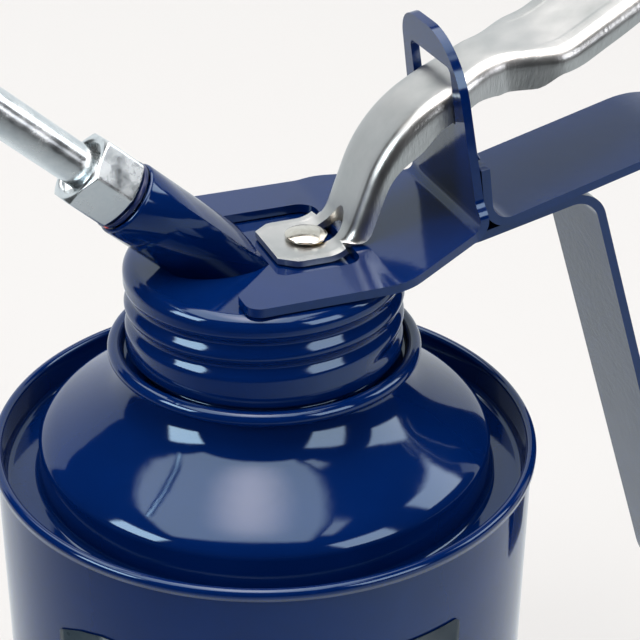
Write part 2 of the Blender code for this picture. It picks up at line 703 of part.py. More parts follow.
def handle_corners():
    """The strip's middle line: leg on the upright, top run, grip, inner run, lower run."""
    middle = PLATE + GAP + STRIP / 2
    leg_top = upright_point(LEG_TOP, middle)
    ramp_drop = middle / cos(RAMP_ANGLE) + TONGUE_DROP
    tongue_x = UPRIGHT_X - TONGUE
    root_x = UPRIGHT_X + PLATE

    def under_ramp(x):
        return PLATE_TOP + (x - RAMP_START_X) * tan(RAMP_ANGLE) - ramp_drop

    root = (root_x, under_ramp(root_x))
    lower_rise = tan(LOWER_RUN_ANGLE)
    top_slope = tan(TOP_RUN_ANGLE)
    leg_x = upright_point(0.0, middle)[0]
    leg_low = (leg_x, under_ramp(leg_x) + STRIP + TOP_RUN_RISE)
    grip_top = (GRIP_X, leg_low[1] + (GRIP_X - leg_low[0]) * top_slope)
    down = Vector((sin(GRIP_LEAN), -cos(GRIP_LEAN)))
    inward = Vector((-cos(GRIP_LEAN), -sin(GRIP_LEAN)))
    grip_low = Vector(grip_top) + down * GRIP_LENGTH
    inner_low = grip_low + inward * GRIP_WIDTH
    across = Vector(grip_top) + inward * GRIP_WIDTH
    gain = (root[1] + (across.x - root[0]) * lower_rise - across.y) / (down.y - lower_rise * down.x)
    inner_top = across + down * gain
    corners = [leg_top, leg_low, grip_top, tuple(grip_low), tuple(inner_low), tuple(inner_top), root,
               (tongue_x, under_ramp(tongue_x))]
    turn = GRIP_WIDTH / 2
    return corners, [0.0, LEG_BEND, GRIP_BEND, turn, turn, LOWER_BEND, TONGUE_BEND, 0.0]


def strip_half_widths(path):
    """Full width on the leg and the top run, easing down the grip to the low width."""
    highest = max(range(len(path)), key=lambda k: path[k][1])
    lowest = min(range(len(path)), key=lambda k: path[k][1])
    stops = [(path[lowest][1], STRIP_LOW_HALF_WIDTH), (path[highest][1], STRIP_HALF_WIDTH)]
    widths = []
    for k, (x, z) in enumerate(path):
        if k < highest:
            widths.append(STRIP_HALF_WIDTH)
        elif k > lowest:
            widths.append(STRIP_LOW_HALF_WIDTH)
        else:
            widths.append(blend_stops(stops, z))
    return widths


def make_handle(material):
    corners, radii = handle_corners()
    path = rounded(corners, radii)
    return bent_strip("handle_loop", path, strip_half_widths(path), STRIP, material)


def make_weld(material):
    """Bead along the top of the handle's leg, against the upright."""
    x, z = upright_point(LEG_TOP + WELD_RADIUS + GAP, PLATE + GAP + WELD_RADIUS)
    points = [(x, -WELD_HALF_LENGTH, z), (x, WELD_HALF_LENGTH, z)]
    return place("leg_weld", wire_mesh("leg_weld", points, WELD_RADIUS), material)


# Lever

def lever_path():
    """Outer face of the web, as (x, z) points and headings at even steps."""
    corners = [(FOOT_FRONT_X, FOOT_TOP)]
    radii = [0.0]
    for x, rise, radius in LEVER_KNEES:
        corners.append((x * MM, FOOT_TOP + rise * MM))
        radii.append(radius * MM)
    corners.append((PAD_END[0] * MM, FOOT_TOP + PAD_END[1] * MM))
    radii.append(0.0)
    return rounded(corners, radii, step=radians(9.0))


def resample(points, spacing):
    """Keep the path's own points and divide its long runs evenly."""
    result = [Vector(points[0])]
    for a, b in zip(points, points[1:]):
        a, b = Vector(a), Vector(b)
        pieces = max(1, round((b - a).length / spacing))
        result += [a.lerp(b, k / pieces) for k in range(1, pieces + 1)]
    return result


def blend_stops(stops, x):
    """Value at x of a line through (x, value) stops, eased between them."""
    if x <= stops[0][0]:
        return stops[0][1]
    for (x0, v0), (x1, v1) in zip(stops, stops[1:]):
        if x <= x1:
            part = (x - x0) / (x1 - x0)
            return v0 + (v1 - v0) * part * part * (3.0 - 2.0 * part)
    return stops[-1][1]


def lever_section(half_width, depth, fold):
    """Half of the channel's section: (y, drop) points from the middle of the web outwards."""
    flat = half_width - LEVER_EDGE_RADIUS
    points = [(0.0, 0.0), (flat, 0.0)]
    for k in range(1, 4):
        turn = fold * k / 3
        points.append((flat + LEVER_EDGE_RADIUS * sin(turn), LEVER_EDGE_RADIUS * (1.0 - cos(turn))))
    rest = depth - LEVER_EDGE_RADIUS
    points.append((points[-1][0] + rest * cos(fold), points[-1][1] + rest * sin(fold)))
    return points


def in_metres(stops):
    return [(x * MM, value * MM) for x, value in stops]


def make_lever(material):
    path = resample(lever_path(), LEVER_SPACING)
    half_widths, depths = in_metres(LEVER_HALF_WIDTHS), in_metres(LEVER_DEPTHS)
    fold_start = LEVER_KNEES[0][0] * MM - FOLD_LEAD
    fold_end = fold_start + FOLD_RUN
    form = bmesh.new()
    rows = []
    for i, point in enumerate(path):
        ahead = path[min(i + 1, len(path) - 1)] - path[max(i - 1, 0)]
        heading = ahead.normalized()
        down = Vector((heading.y, -heading.x))
        fold = blend_stops([(fold_start, radians(5.0)), (fold_end, pi / 2)], point.x)
        section = lever_section(blend_stops(half_widths, point.x), blend_stops(depths, point.x), fold)
        if point.x < fold_start:
            wide = FOOT_FRONT_HALF_WIDTH + (FOOT_HALF_WIDTH - FOOT_FRONT_HALF_WIDTH) * min(
                1.0, (point.x - FOOT_FRONT_X) / FOOT_BEVEL)
            section = fit_width(section, wide)
        rows.append(section_row(form, point, down, section))
    for low, high in zip(rows, rows[1:]):
        for a, b, c, d in zip(low, low[1:], high[1:], high):
            form.faces.new((a, b, c, d))
    bmesh.ops.recalc_face_normals(form, faces=form.faces)
    if form.faces[0].normal.z < 0.0:
        bmesh.ops.reverse_faces(form, faces=form.faces)
    mesh = bpy.data.meshes.new("thumb_lever")
    form.to_mesh(mesh)
    form.free()
    piece = place("thumb_lever", mesh, material)
    sheet = piece.modifiers.new("sheet", "SOLIDIFY")
    sheet.thickness = LEVER_SHEET
    sheet.offset = -1.0
    sheet.use_even_offset = True
    mesh.shade_smooth()
    boolean(piece, lever_slot_cutter())
    set_origin(piece, lever_pivot())
    return piece


def fit_width(section, half_width):
    widest = section[-1][0]
    return [(y * half_width / widest, drop) for y, drop in section]


def section_row(form, point, down, section):
    row = []
    half = [(-y, drop) for y, drop in reversed(section[1:])] + section
    for y, drop in half:
        spot = point + down * drop
        row.append(form.verts.new((spot.x, y, spot.y)))
    return row


def lever_slot_cutter():
    half = LEVER_SLOT_HALF_WIDTH
    corners = [(LEVER_SLOT_FRONT_X, -half), (LEVER_SLOT_BACK_X, -half), (LEVER_SLOT_BACK_X, half),
               (LEVER_SLOT_FRONT_X, half)]
    outline = rounded(corners, [half * 0.95] * 4, closed=True, step=radians(20.0))
    piece = make_cutter("lever_slot", flat_mesh("lever_slot", [outline], 16 * LEVER_SHEET))
    piece.location.z = FOOT_TOP
    return piece


def lever_pivot():
    """The lever rocks on the window's sill, in the middle of the plate."""
    up = (SILL_Z - upright_point(0.0)[1]) / cos(UPRIGHT_LEAN)
    return (upright_point(up, PLATE / 2)[0], 0.0, SILL_Z)


def set_origin(piece, origin):
    piece.data.transform(Matrix.Translation(-Vector(origin)))
    piece.location = origin


# Pump

def make_bush(material):
    profile = [(ROD_RADIUS + GAP, CAP_TOP), (BUSH_RADIUS, CAP_TOP), (BUSH_RADIUS, BUSH_TOP),
               (BUSH_FLANGE_RADIUS, BUSH_TOP), (BUSH_FLANGE_RADIUS, BUSH_BOTTOM),
               (ROD_RADIUS + GAP, BUSH_BOTTOM)]
    return turned("gland_bush", profile, material, SMALL_STEPS, closed=True, x=PUMP_X)


def make_packing(material):
    return ring("gland_packing", BUSH_FLANGE_RADIUS, ROD_RADIUS + GAP, PACKING_TOP, PACKING_BOTTOM,
                material, x=PUMP_X)


def make_barrel(material):
    outer = BARREL_BORE + BARREL_WALL
    flange_foot = BARREL_TOP - BARREL_FLANGE
    profile = [(BARREL_BORE, BARREL_TOP), (BARREL_FLANGE_RADIUS, BARREL_TOP),
               (BARREL_FLANGE_RADIUS, flange_foot),
               (outer, flange_foot), (outer, BARREL_BOTTOM), (BARREL_BORE, BARREL_BOTTOM)]
    piece = turned("pump_barrel", profile, material, SMALL_STEPS, closed=True, x=PUMP_X)
    side = Matrix.Rotation(pi / 2, 3, "Y")
    hole_x = PUMP_X - outer
    boolean(piece, drill("delivery_port", (hole_x, 0.0, CAP_TOP - DELIVERY_DROP), DELIVERY_BORE,
                         6 * BARREL_WALL, side))
    return piece


def make_delivery(material):
    """Elbow from the barrel's side up to the hole under the boss."""
    level = CAP_TOP - DELIVERY_DROP
    start = PUMP_X - BARREL_BORE - BARREL_WALL - GAP
    corners = [(start, level), (SPOUT_FOOT_X, level), (SPOUT_FOOT_X, CAP_UNDERSIDE - GAP)]
    run = rounded(corners, (0.0, DELIVERY_BEND, 0.0))
    points = [(x, 0.0, z) for x, z in run]
    piece = place("delivery_tube", wire_mesh("delivery_tube", points, DELIVERY_RADIUS), material)
    beyond = 1.0 * MM
    longer = [(start + beyond, 0.0, level)] + points + [(SPOUT_FOOT_X, 0.0, CAP_UNDERSIDE + beyond)]
    boolean(piece, make_cutter("delivery_core", wire_mesh("delivery_core", longer, DELIVERY_BORE)))
    return piece


def make_valve_body(material):
    """Foot valve: chamber and conical seat for the ball, collar below, spigot for the suction tube."""
    top = BARREL_BOTTOM + VALVE_BODY
    collar_top = BARREL_BOTTOM - GAP
    collar_foot = collar_top - VALVE_COLLAR
    spigot_foot = collar_foot - VALVE_SPIGOT
    fit = BARREL_BORE - GAP
    outer = BARREL_BORE + BARREL_WALL
    floor = top - 2 * BALL_RADIUS - BALL_ROOM
    seat = floor - (VALVE_CHAMBER - VALVE_BORE)
    profile = [(VALVE_CHAMBER, top), (fit, top), (fit, collar_top), (outer, collar_top),
               (outer, collar_foot), (VALVE_SPIGOT_RADIUS, collar_foot), (VALVE_SPIGOT_RADIUS, spigot_foot),
               (VALVE_BORE, spigot_foot), (VALVE_BORE, seat), (VALVE_CHAMBER, floor)]
    turned("foot_valve_body", profile, material, SMALL_STEPS, closed=True, x=PUMP_X)
    return seat, collar_foot


def ball_height(seat):
    """Centre of the ball where it touches the 45 degree seat, less the running gap."""
    return seat - VALVE_BORE + BALL_RADIUS * 2 ** 0.5 + GAP


def make_ball(material, seat):
    form = bmesh.new()
    bmesh.ops.create_uvsphere(form, u_segments=16, v_segments=10, radius=BALL_RADIUS)
    mesh = bpy.data.meshes.new("foot_ball")
    form.to_mesh(mesh)
    form.free()
    mesh.shade_smooth()
    piece = place("foot_ball", mesh, material)
    piece.location = (PUMP_X, 0.0, ball_height(seat))
    return piece


def make_stop(material):
    bottom = BARREL_BOTTOM + VALVE_BODY + GAP
    return ring("ball_stop", BARREL_BORE - GAP, STOP_HOLE, bottom + STOP_PLATE, bottom, material, x=PUMP_X)


def make_strainer(material):
    """Shallow cup that hangs on the suction tube's end, open round the tube."""
    outer = SUCTION_BORE + SUCTION_WALL + GAP
    foot = CAN_WALL + SUCTION_CLEARANCE
    top = foot + STRAINER_HEIGHT
    inner = STRAINER_RADIUS - STRAINER_SHEET
    profile = [(0.0, foot + STRAINER_SHEET), (inner, foot + STRAINER_SHEET), (inner, top - STRAINER_SHEET),
               (outer, top - STRAINER_SHEET), (outer, top), (STRAINER_RADIUS, top), (STRAINER_RADIUS, foot),
               (0.0, foot)]
    return turned("inlet_strainer", profile, material, SMALL_STEPS, x=PUMP_X)


def make_rod(material):
    """Pull rod with its domed head above the lever's foot."""
    edge = HEAD_BOTTOM + HEAD_EDGE
    sphere = (HEAD_RADIUS ** 2 + HEAD_DOME ** 2) / (2 * HEAD_DOME)
    dome = []
    for k in range(5):
        r = HEAD_RADIUS * k / 4
        dome.append((r, edge + HEAD_DOME - sphere + (sphere ** 2 - r ** 2) ** 0.5))
    profile = dome + [(HEAD_RADIUS, HEAD_BOTTOM), (ROD_RADIUS, HEAD_BOTTOM), (ROD_RADIUS, ROD_BOTTOM),
                      (0.0, ROD_BOTTOM)]
    return turned("plunger_rod", profile, material, SMALL_STEPS, x=PUMP_X)


def make_piston(disc_material, cup_material, nut_material):
    hole = ROD_RADIUS + GAP
    fit = BARREL_BORE - PISTON_CLEARANCE
    ring("piston", fit - PISTON_INSET, hole, PISTON_TOP, PISTON_TOP - PISTON, disc_material, x=PUMP_X)
    cup_foot = CUP_TOP - CUP
    cup = [(hole, CUP_TOP), (fit, CUP_TOP), (fit, cup_foot), (fit - CUP_SHEET, cup_foot),
           (fit - CUP_SHEET, CUP_TOP - CUP_SHEET), (hole, CUP_TOP - CUP_SHEET)]
    turned("piston_cup", cup, cup_material, SMALL_STEPS, closed=True, x=PUMP_X)
    ring("piston_nut", PISTON_NUT_RADIUS, hole, CUP_TOP - CUP_SHEET - GAP,
         CUP_TOP - CUP_SHEET - GAP - PISTON_NUT, nut_material, steps=6, x=PUMP_X)


def make_spring(material):
    low = PISTON_TOP + SPRING_WIRE + GAP
    high = PACKING_BOTTOM - SPRING_WIRE - GAP
    count = SPRING_TURNS * SPRING_STEPS
    points = []
    for k in range(count + 1):
        angle = 2 * pi * k / SPRING_STEPS
        points.append((PUMP_X + SPRING_RADIUS * cos(angle), SPRING_RADIUS * sin(angle),
                       low + (high - low) * k / count))
    return place("pump_spring", wire_mesh("pump_spring", points, SPRING_WIRE), material)


def main():
    clear_scene()
    enamel = paint("blue_enamel", (0.003, 0.016, 0.100), 0.12)
    inside = paint("bare_steel", (0.45, 0.46, 0.47), 0.35, 1.0)
    nickel = paint("satin_nickel", (0.55, 0.54, 0.51), 0.32, 1.0)
    bright = paint("bright_nickel", (0.72, 0.69, 0.62), 0.2, 1.0)
    zinc = paint("bright_zinc", (0.66, 0.70, 0.74), 0.24, 1.0)
    brass = paint("brass", (0.60, 0.42, 0.16), 0.3, 1.0)
    rubber = paint("black_rubber", (0.02, 0.02, 0.02), 0.7)
    leather = paint("cup_leather", (0.22, 0.11, 0.05), 0.7)
    felt = paint("packing_felt", (0.45, 0.42, 0.36), 0.95)
    fibre = paint("red_fibre", (0.55, 0.03, 0.01), 0.6)
    sticker = paint("silver_sticker", (0.33, 0.35, 0.36), 0.45, 0.3)

    make_can(enamel)
    make_shoulder(enamel)
    make_label(sticker)
    make_gasket(rubber)
    make_cap(enamel)
    make_boss(enamel)
    make_washer(fibre)
    make_nut(zinc)
    make_tube(zinc)
    make_bracket(enamel)
    make_handle(enamel)
    make_weld(enamel)
    make_lever(nickel)
    make_bush(brass)
    make_packing(felt)
    make_barrel(brass)
    make_delivery(brass)
    seat, valve_foot = make_valve_body(brass)
    make_ball(inside, seat)
    make_stop(brass)
    ring("suction_tube", SUCTION_BORE + SUCTION_WALL, SUCTION_BORE, valve_foot - GAP,
         CAN_WALL + SUCTION_CLEARANCE + 2 * STRAINER_SHEET, brass, x=PUMP_X)
    make_strainer(brass)
    make_rod(bright)
    make_piston(brass, leather, brass)
    make_spring(inside)


main()
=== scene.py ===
"""Looks of the pump oil can: fine meshes over the CAD nodes, finishes, studio and camera. Metres, +Z up."""

from math import atan2, cos, exp, hypot, log, pi, radians, sin, tan

import bmesh
import bpy
from mathutils import Matrix, Vector, noise


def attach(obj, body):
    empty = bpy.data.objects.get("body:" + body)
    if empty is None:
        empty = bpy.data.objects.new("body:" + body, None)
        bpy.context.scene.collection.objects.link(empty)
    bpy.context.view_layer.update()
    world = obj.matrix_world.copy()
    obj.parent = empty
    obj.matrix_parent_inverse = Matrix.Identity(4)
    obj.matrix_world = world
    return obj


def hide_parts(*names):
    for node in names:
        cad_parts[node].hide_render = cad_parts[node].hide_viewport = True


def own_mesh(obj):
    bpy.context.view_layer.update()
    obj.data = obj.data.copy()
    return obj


MM = 0.001
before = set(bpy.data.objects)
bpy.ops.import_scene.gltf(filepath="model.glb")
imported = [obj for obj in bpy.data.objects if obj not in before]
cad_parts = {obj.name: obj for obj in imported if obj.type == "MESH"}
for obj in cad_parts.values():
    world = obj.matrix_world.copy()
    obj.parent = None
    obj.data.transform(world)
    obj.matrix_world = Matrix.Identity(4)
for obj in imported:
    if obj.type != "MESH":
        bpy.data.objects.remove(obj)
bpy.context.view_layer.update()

# Can and shoulder, heights above the middle of the seam
SEAM_Z = 88.0 * MM
CAN_RADIUS = 44.4 * MM
CAN_WALL = 0.4 * MM
CAN_CORNER = 2.5 * MM
SHEET = 0.3 * MM
SEAM_BEAD = 0.85 * MM
SEAM_SKIRT = 0.8 * MM
GUTTER_DEPTH = 5.4 * MM
GUTTER_CORNER = 1.3 * MM
DOME_RADIUS = 37.4 * MM
DOME_SECTION = ((22.1, 15.4), (22.2, 14.6), (22.75, 13.05), (23.65, 11.6), (25.0, 10.1), (26.55, 8.95),
                (28.7, 7.65), (31.1, 6.25), (33.4, 4.87), (35.1, 3.75), (36.5, 2.55), (37.25, 1.55),
                (37.4, 0.9))    # radius and rise, mm
COLLAR_RADIUS = 25.4 * MM
COLLAR_RISE = 17.3 * MM
COLLAR_BEAD = 1.2 * MM
MOUTH_RADIUS = 20.6 * MM
MOUTH_TOP = SEAM_Z + 30.6 * MM

# Label
LABEL_FROM = radians(-156.0)
LABEL_TO = radians(-68.0)
LABEL_TOP = SEAM_Z - 13.3 * MM
LABEL_HEIGHT = 52.0 * MM
LABEL_SHEET = 0.15 * MM
LABEL_CUT = 4.6 * MM        # the slanting corner at the label's left end
LABEL_CUT_DROP = 3.1 * MM

# Cap
CAP_TOP = SEAM_Z + 33.1 * MM
CAP_EDGE = SEAM_Z + 18.0 * MM
CAP_RADIUS = 22.4 * MM
CAP_WALL = 1.2 * MM
CAP_CROWN = 0.5 * MM
CAP_CORNER = 2.1 * MM
THREAD_PITCH = 3.95 * MM
THREAD_DEPTH = 0.85 * MM
THREAD_START = radians(-66.0)
THREAD_START_RISE = 3.1 * MM
THREAD_TURNS = 2.3
THREAD_RUN_OUT = 0.10

# Spout
SPOUT_ANGLE = radians(42.0)
SPOUT_FOOT_X = -7.35 * MM
BOSS_RADIUS = 6.0 * MM
BOSS_BORE = 3.6 * MM
BOSS_LENGTH = 19.9 * MM
BOSS_TRIM_X = -0.6 * MM
BOSS_TRIM_ANGLE = radians(55.0)
JOINT_GAP = 0.3 * MM
WASHER = 0.8 * MM
NUT_LENGTH = 7.5 * MM
NUT_CORNER_RADIUS = 6.3 * MM
NUT_TURN = radians(20.0)
TUBE_RADIUS = 3.2 * MM
TUBE_BORE = 2.2 * MM
TUBE_LENGTH = 132.0 * MM
TUBE_TAPER = 16.0 * MM
TIP_RADIUS = 1.9 * MM
TIP_BORE = 1.0 * MM

# Bracket
PLATE = 1.45 * MM
PLATE_TOP = CAP_TOP + JOINT_GAP + PLATE
FORK_HALF_WIDTH = 20.5 * MM
FORK_FRONT_X = -9.7 * MM
FORK_CORNER = 2.4 * MM
SLOT_HALF_WIDTH = 11.6 * MM
SLOT_END_X = 12.4 * MM
SLOT_CORNER = 3.0 * MM
SLOT_LIP_CORNER = 0.4 * MM
ARM_BEVEL = 3.6 * MM
RAMP_START_X = 13.5 * MM
RAMP_ANGLE = radians(8.0)
TAPER_START_X = 16.5 * MM
RAMP_FOOT_HALF_WIDTH = 12.9 * MM
UPRIGHT_STEP = 2.4 * MM
UPRIGHT_STEP_BEVEL = 0.8 * MM
UPRIGHT_X = 31.7 * MM
UPRIGHT_LEAN = radians(9.5)
UPRIGHT_HEIGHT = 30.6 * MM
UPRIGHT_FOOT_HALF_WIDTH = 11.6 * MM
UPRIGHT_TOP_HALF_WIDTH = 9.7 * MM
UPRIGHT_CORNER = 5.0 * MM
UPRIGHT_ROUND_CORNER = 10.5 * MM
BEND_RADIUS = 1.6 * MM
WINDOW_HALF_WIDTH = 7.3 * MM
WINDOW_SILL = 18.55 * MM
WINDOW_HEIGHT = 9.4 * MM
WINDOW_CORNER = 1.2 * MM
SILL_CORNER = 0.5 * MM

# Handle
STRIP = 1.5 * MM
STRIP_HALF_WIDTH = 11.0 * MM
STRIP_LOW_HALF_WIDTH = 9.7 * MM
LEG_TOP = 9.1 * MM
LEG_BEND = 3.8 * MM
TOP_RUN_ANGLE = radians(14.7)
TOP_RUN_RISE = 0.14 * MM
GRIP_X = 82.5 * MM
GRIP_LEAN = radians(18.3)
GRIP_BEND = 17.0 * MM
GRIP_WIDTH = 30.4 * MM
GRIP_LENGTH = 109.0 * MM
LOWER_RUN_ANGLE = radians(12.6)
LOWER_BEND = 5.0 * MM
TONGUE = 7.5 * MM
TONGUE_DROP = 0.55 * MM
WELD_RADIUS = 0.8 * MM
WELD_HALF_LENGTH = 9.3 * MM

# Lever
LEVER_SHEET = 1.05 * MM
FOOT_REST = 0.4 * MM
FOOT_TOP = CAP_TOP + FOOT_REST + LEVER_SHEET
FOOT_FRONT_X = 0.35 * MM
FOOT_FRONT_HALF_WIDTH = 5.1 * MM
FOOT_HALF_WIDTH = 7.3 * MM
FOOT_BEVEL = 2.8 * MM
LEVER_EDGE_RADIUS = 2.2 * MM
FOLD_LEAD = 0.6 * MM        # the flanges start to fold this much before the first knee
FOLD_RUN = 1.8 * MM
LEVER_KNEES = ((11.6, 0.0, 5.0), (18.15, 18.5, 23.0), (35.5, 28.0, 15.0), (46.8, 30.1, 10.0),
               (74.0, 46.1, 22.0))     # x, rise above the foot and bend radius, mm
PAD_END = (96.0, 48.1)
LEVER_HALF_WIDTHS = ((28.0, 6.7), (33.0, 6.1), (36.5, 6.2), (46.0, 9.9))    # x and half width, mm
LEVER_DEPTHS = ((14.6, 3.0), (20.5, 5.1), (25.0, 4.6), (30.5, 4.4), (35.0, 5.7), (41.0, 5.9),
                (45.5, 3.9), (52.0, 3.8), (71.0, 2.8))      # x and flange depth, mm
LEVER_SLOT_HALF_WIDTH = 2.75 * MM
LEVER_SLOT_FRONT_X = 4.6 * MM
LEVER_SLOT_BACK_X = 13.2 * MM

# Pull rod's head
PUMP_X = 7.1 * MM
ROD_RADIUS = 1.6 * MM
ROD_BOTTOM = CAP_TOP - 36.7 * MM
HEAD_RADIUS = 3.4 * MM
HEAD_BOTTOM = FOOT_TOP + 0.4 * MM
HEAD_EDGE = 0.35 * MM
HEAD_DOME = 0.6 * MM

# Camera, fitted to the photograph
CAMERA_AT = Vector((-85.1, -233.8, 246.0)) * MM
CAMERA_HEADING = radians(22.06)     # from +Y towards +X
CAMERA_DOWN = radians(28.83)
CAMERA_ROLL = radians(0.61)
CAMERA_LENS = 99.1
FLOOR_FRONT = -0.42     # the floor's front edge, towards the camera
LAMP_DISTANCE = 1.2


# Plane geometry

def arc(centre, radius, start, end, steps):
    """Points of an arc, angles in degrees."""
    turn = radians(end - start) / steps
    return [(centre[0] + radius * cos(radians(start) + turn * i),
             centre[1] + radius * sin(radians(start) + turn * i)) for i in range(steps + 1)]


def rounded(corners, radii, closed=False, step=radians(4.0)):
    """A line through the corners with each corner rounded to its own radius."""
    count = len(corners)
    points = []
    for i, (corner, radius) in enumerate(zip(corners, radii)):
        here = Vector(corner)
        if radius <= 0.0 or (not closed and i in (0, count - 1)):
            points.append(tuple(here))
            continue
        back = (Vector(corners[i - 1]) - here).normalized()
        ahead = (Vector(corners[(i + 1) % count]) - here).normalized()
        turn = pi - back.angle(ahead)
        reach = radius * tan(turn / 2)
        centre = here + (back + ahead).normalized() * hypot(radius, reach)
        first = here + back * reach - centre
        side = 1.0 if back.x * ahead.y - back.y * ahead.x < 0.0 else -1.0
        steps = max(2, round(turn / step))
        for k in range(steps + 1):
            angle = side * turn * k / steps
            points.append((centre.x + first.x * cos(angle) - first.y * sin(angle),
                           centre.y + first.x * sin(angle) + first.y * cos(angle)))
    return points


def resample(points, spacing):
    """The path's own points, with its long runs divided evenly."""
    result = [Vector(points[0])]
    for a, b in zip(points, points[1:]):
        a, b = Vector(a), Vector(b)
        pieces = max(1, round((b - a).length / spacing))
        result += [a.lerp(b, k / pieces) for k in range(1, pieces + 1)]
    return result


def blend_stops(stops, x):
    """Value at x of a line through (x, value) stops, eased between them."""
    if x <= stops[0][0]:
        return stops[0][1]
    for (x0, v0), (x1, v1) in zip(stops, stops[1:]):
        if x <= x1:
            part = (x - x0) / (x1 - x0)
            return v0 + (v1 - v0) * part * part * (3.0 - 2.0 * part)
    return stops[-1][1]


def smooth_line(points, rounds):
    """Cuts the corners of a line again and again, ends kept."""
    line = [Vector(point) for point in points]
    for _ in range(rounds):
        cut = [line[0]]
        for a, b in zip(line, line[1:]):
            cut += [a.lerp(b, 0.25), a.lerp(b, 0.75)]
        line = cut + [line[-1]]
    return [tuple(point) for point in line]


# Pieces

def finish_piece(name, form, material, body, nodes=(), crease=35.0):
    """Makes the object, shades it, hangs it under its body and hides the CAD nodes it stands in for."""
    mesh = bpy.data.meshes.new(name)
    form.to_mesh(mesh)
    form.free()
    mesh.shade_smooth()
    mesh.set_sharp_from_angle(angle=radians(crease))
    piece = bpy.data.objects.new(name, mesh)
    bpy.context.scene.collection.objects.link(piece)
    mesh.materials.append(material)
    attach(piece, body)
    if nodes:
        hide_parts(*nodes)
    return piece


def sheet_wall(piece, thickness, offset):
    """Gives a surface its sheet's thickness; offset -1 is inwards, 0 to both sides."""
    wall = piece.modifiers.new("wall", "SOLIDIFY")
    wall.thickness = thickness
    wall.offset = offset
    wall.use_even_offset = True
    return wall


def soft_edges(piece, width, segments=3, angle=40.0):
    """Rounds the edges sharper than the angle."""
    bevel = piece.modifiers.new("soft_edges", "BEVEL")
    bevel.width = width
    bevel.segments = segments
    bevel.limit_method = "ANGLE"
    bevel.angle_limit = radians(angle)
    bevel.harden_normals = True
    bevel.use_clamp_overlap = True
    return bevel


def turned_form(profile, steps, closed=False):
    """A profile of (radius, height) points spun round Z."""
    form = bmesh.new()
    row = [form.verts.new((r, 0.0, z)) for r, z in profile]
    edges = [form.edges.new(pair) for pair in zip(row, row[1:])]
    if closed:
        edges.append(form.edges.new((row[-1], row[0])))
    bmesh.ops.spin(form, geom=row + edges, axis=(0.0, 0.0, 1.0), cent=(0.0, 0.0, 0.0),
                   angle=2 * pi, steps=steps, use_merge=True)
    bmesh.ops.remove_doubles(form, verts=form.verts, dist=0.000001)
    bmesh.ops.recalc_face_normals(form, faces=form.faces)
    return form


def move_form(form, matrix):
    bmesh.ops.transform(form, matrix=matrix, verts=form.verts)
    return form


def spout_frame(along):
    """Matrix that stands a piece made along Z on the spout's axis."""
    at = (SPOUT_FOOT_X - along * cos(SPOUT_ANGLE), 0.0, CAP_TOP + along * sin(SPOUT_ANGLE))
    return Matrix.Translation(at) @ Matrix.Rotation(SPOUT_ANGLE - pi / 2, 4, "Y")


def bake(piece, cutters):
    """Applies the piece's modifiers and removes what cut it."""
    bpy.context.view_layer.update()
    seen = piece.evaluated_get(bpy.context.evaluated_depsgraph_get())
    mesh = bpy.data.meshes.new_from_object(seen)
    old = piece.data
    piece.modifiers.clear()
    piece.data = mesh
    bpy.data.meshes.remove(old)
    for cutter in cutters:
        bpy.data.objects.remove(cutter, do_unlink=True)


def add_cut(piece, form, name):
    mesh = bpy.data.meshes.new(name)
    bmesh.ops.recalc_face_normals(form, faces=form.faces)
    form.to_mesh(mesh)
    form.free()
    cutter = bpy.data.objects.new(name, mesh)
    bpy.context.scene.collection.objects.link(cutter)
    cut = piece.modifiers.new(name, "BOOLEAN")
    cut.operation = "DIFFERENCE"
    cut.object = cutter
    cut.solver = "EXACT"
    return cutter


# Shader building blocks

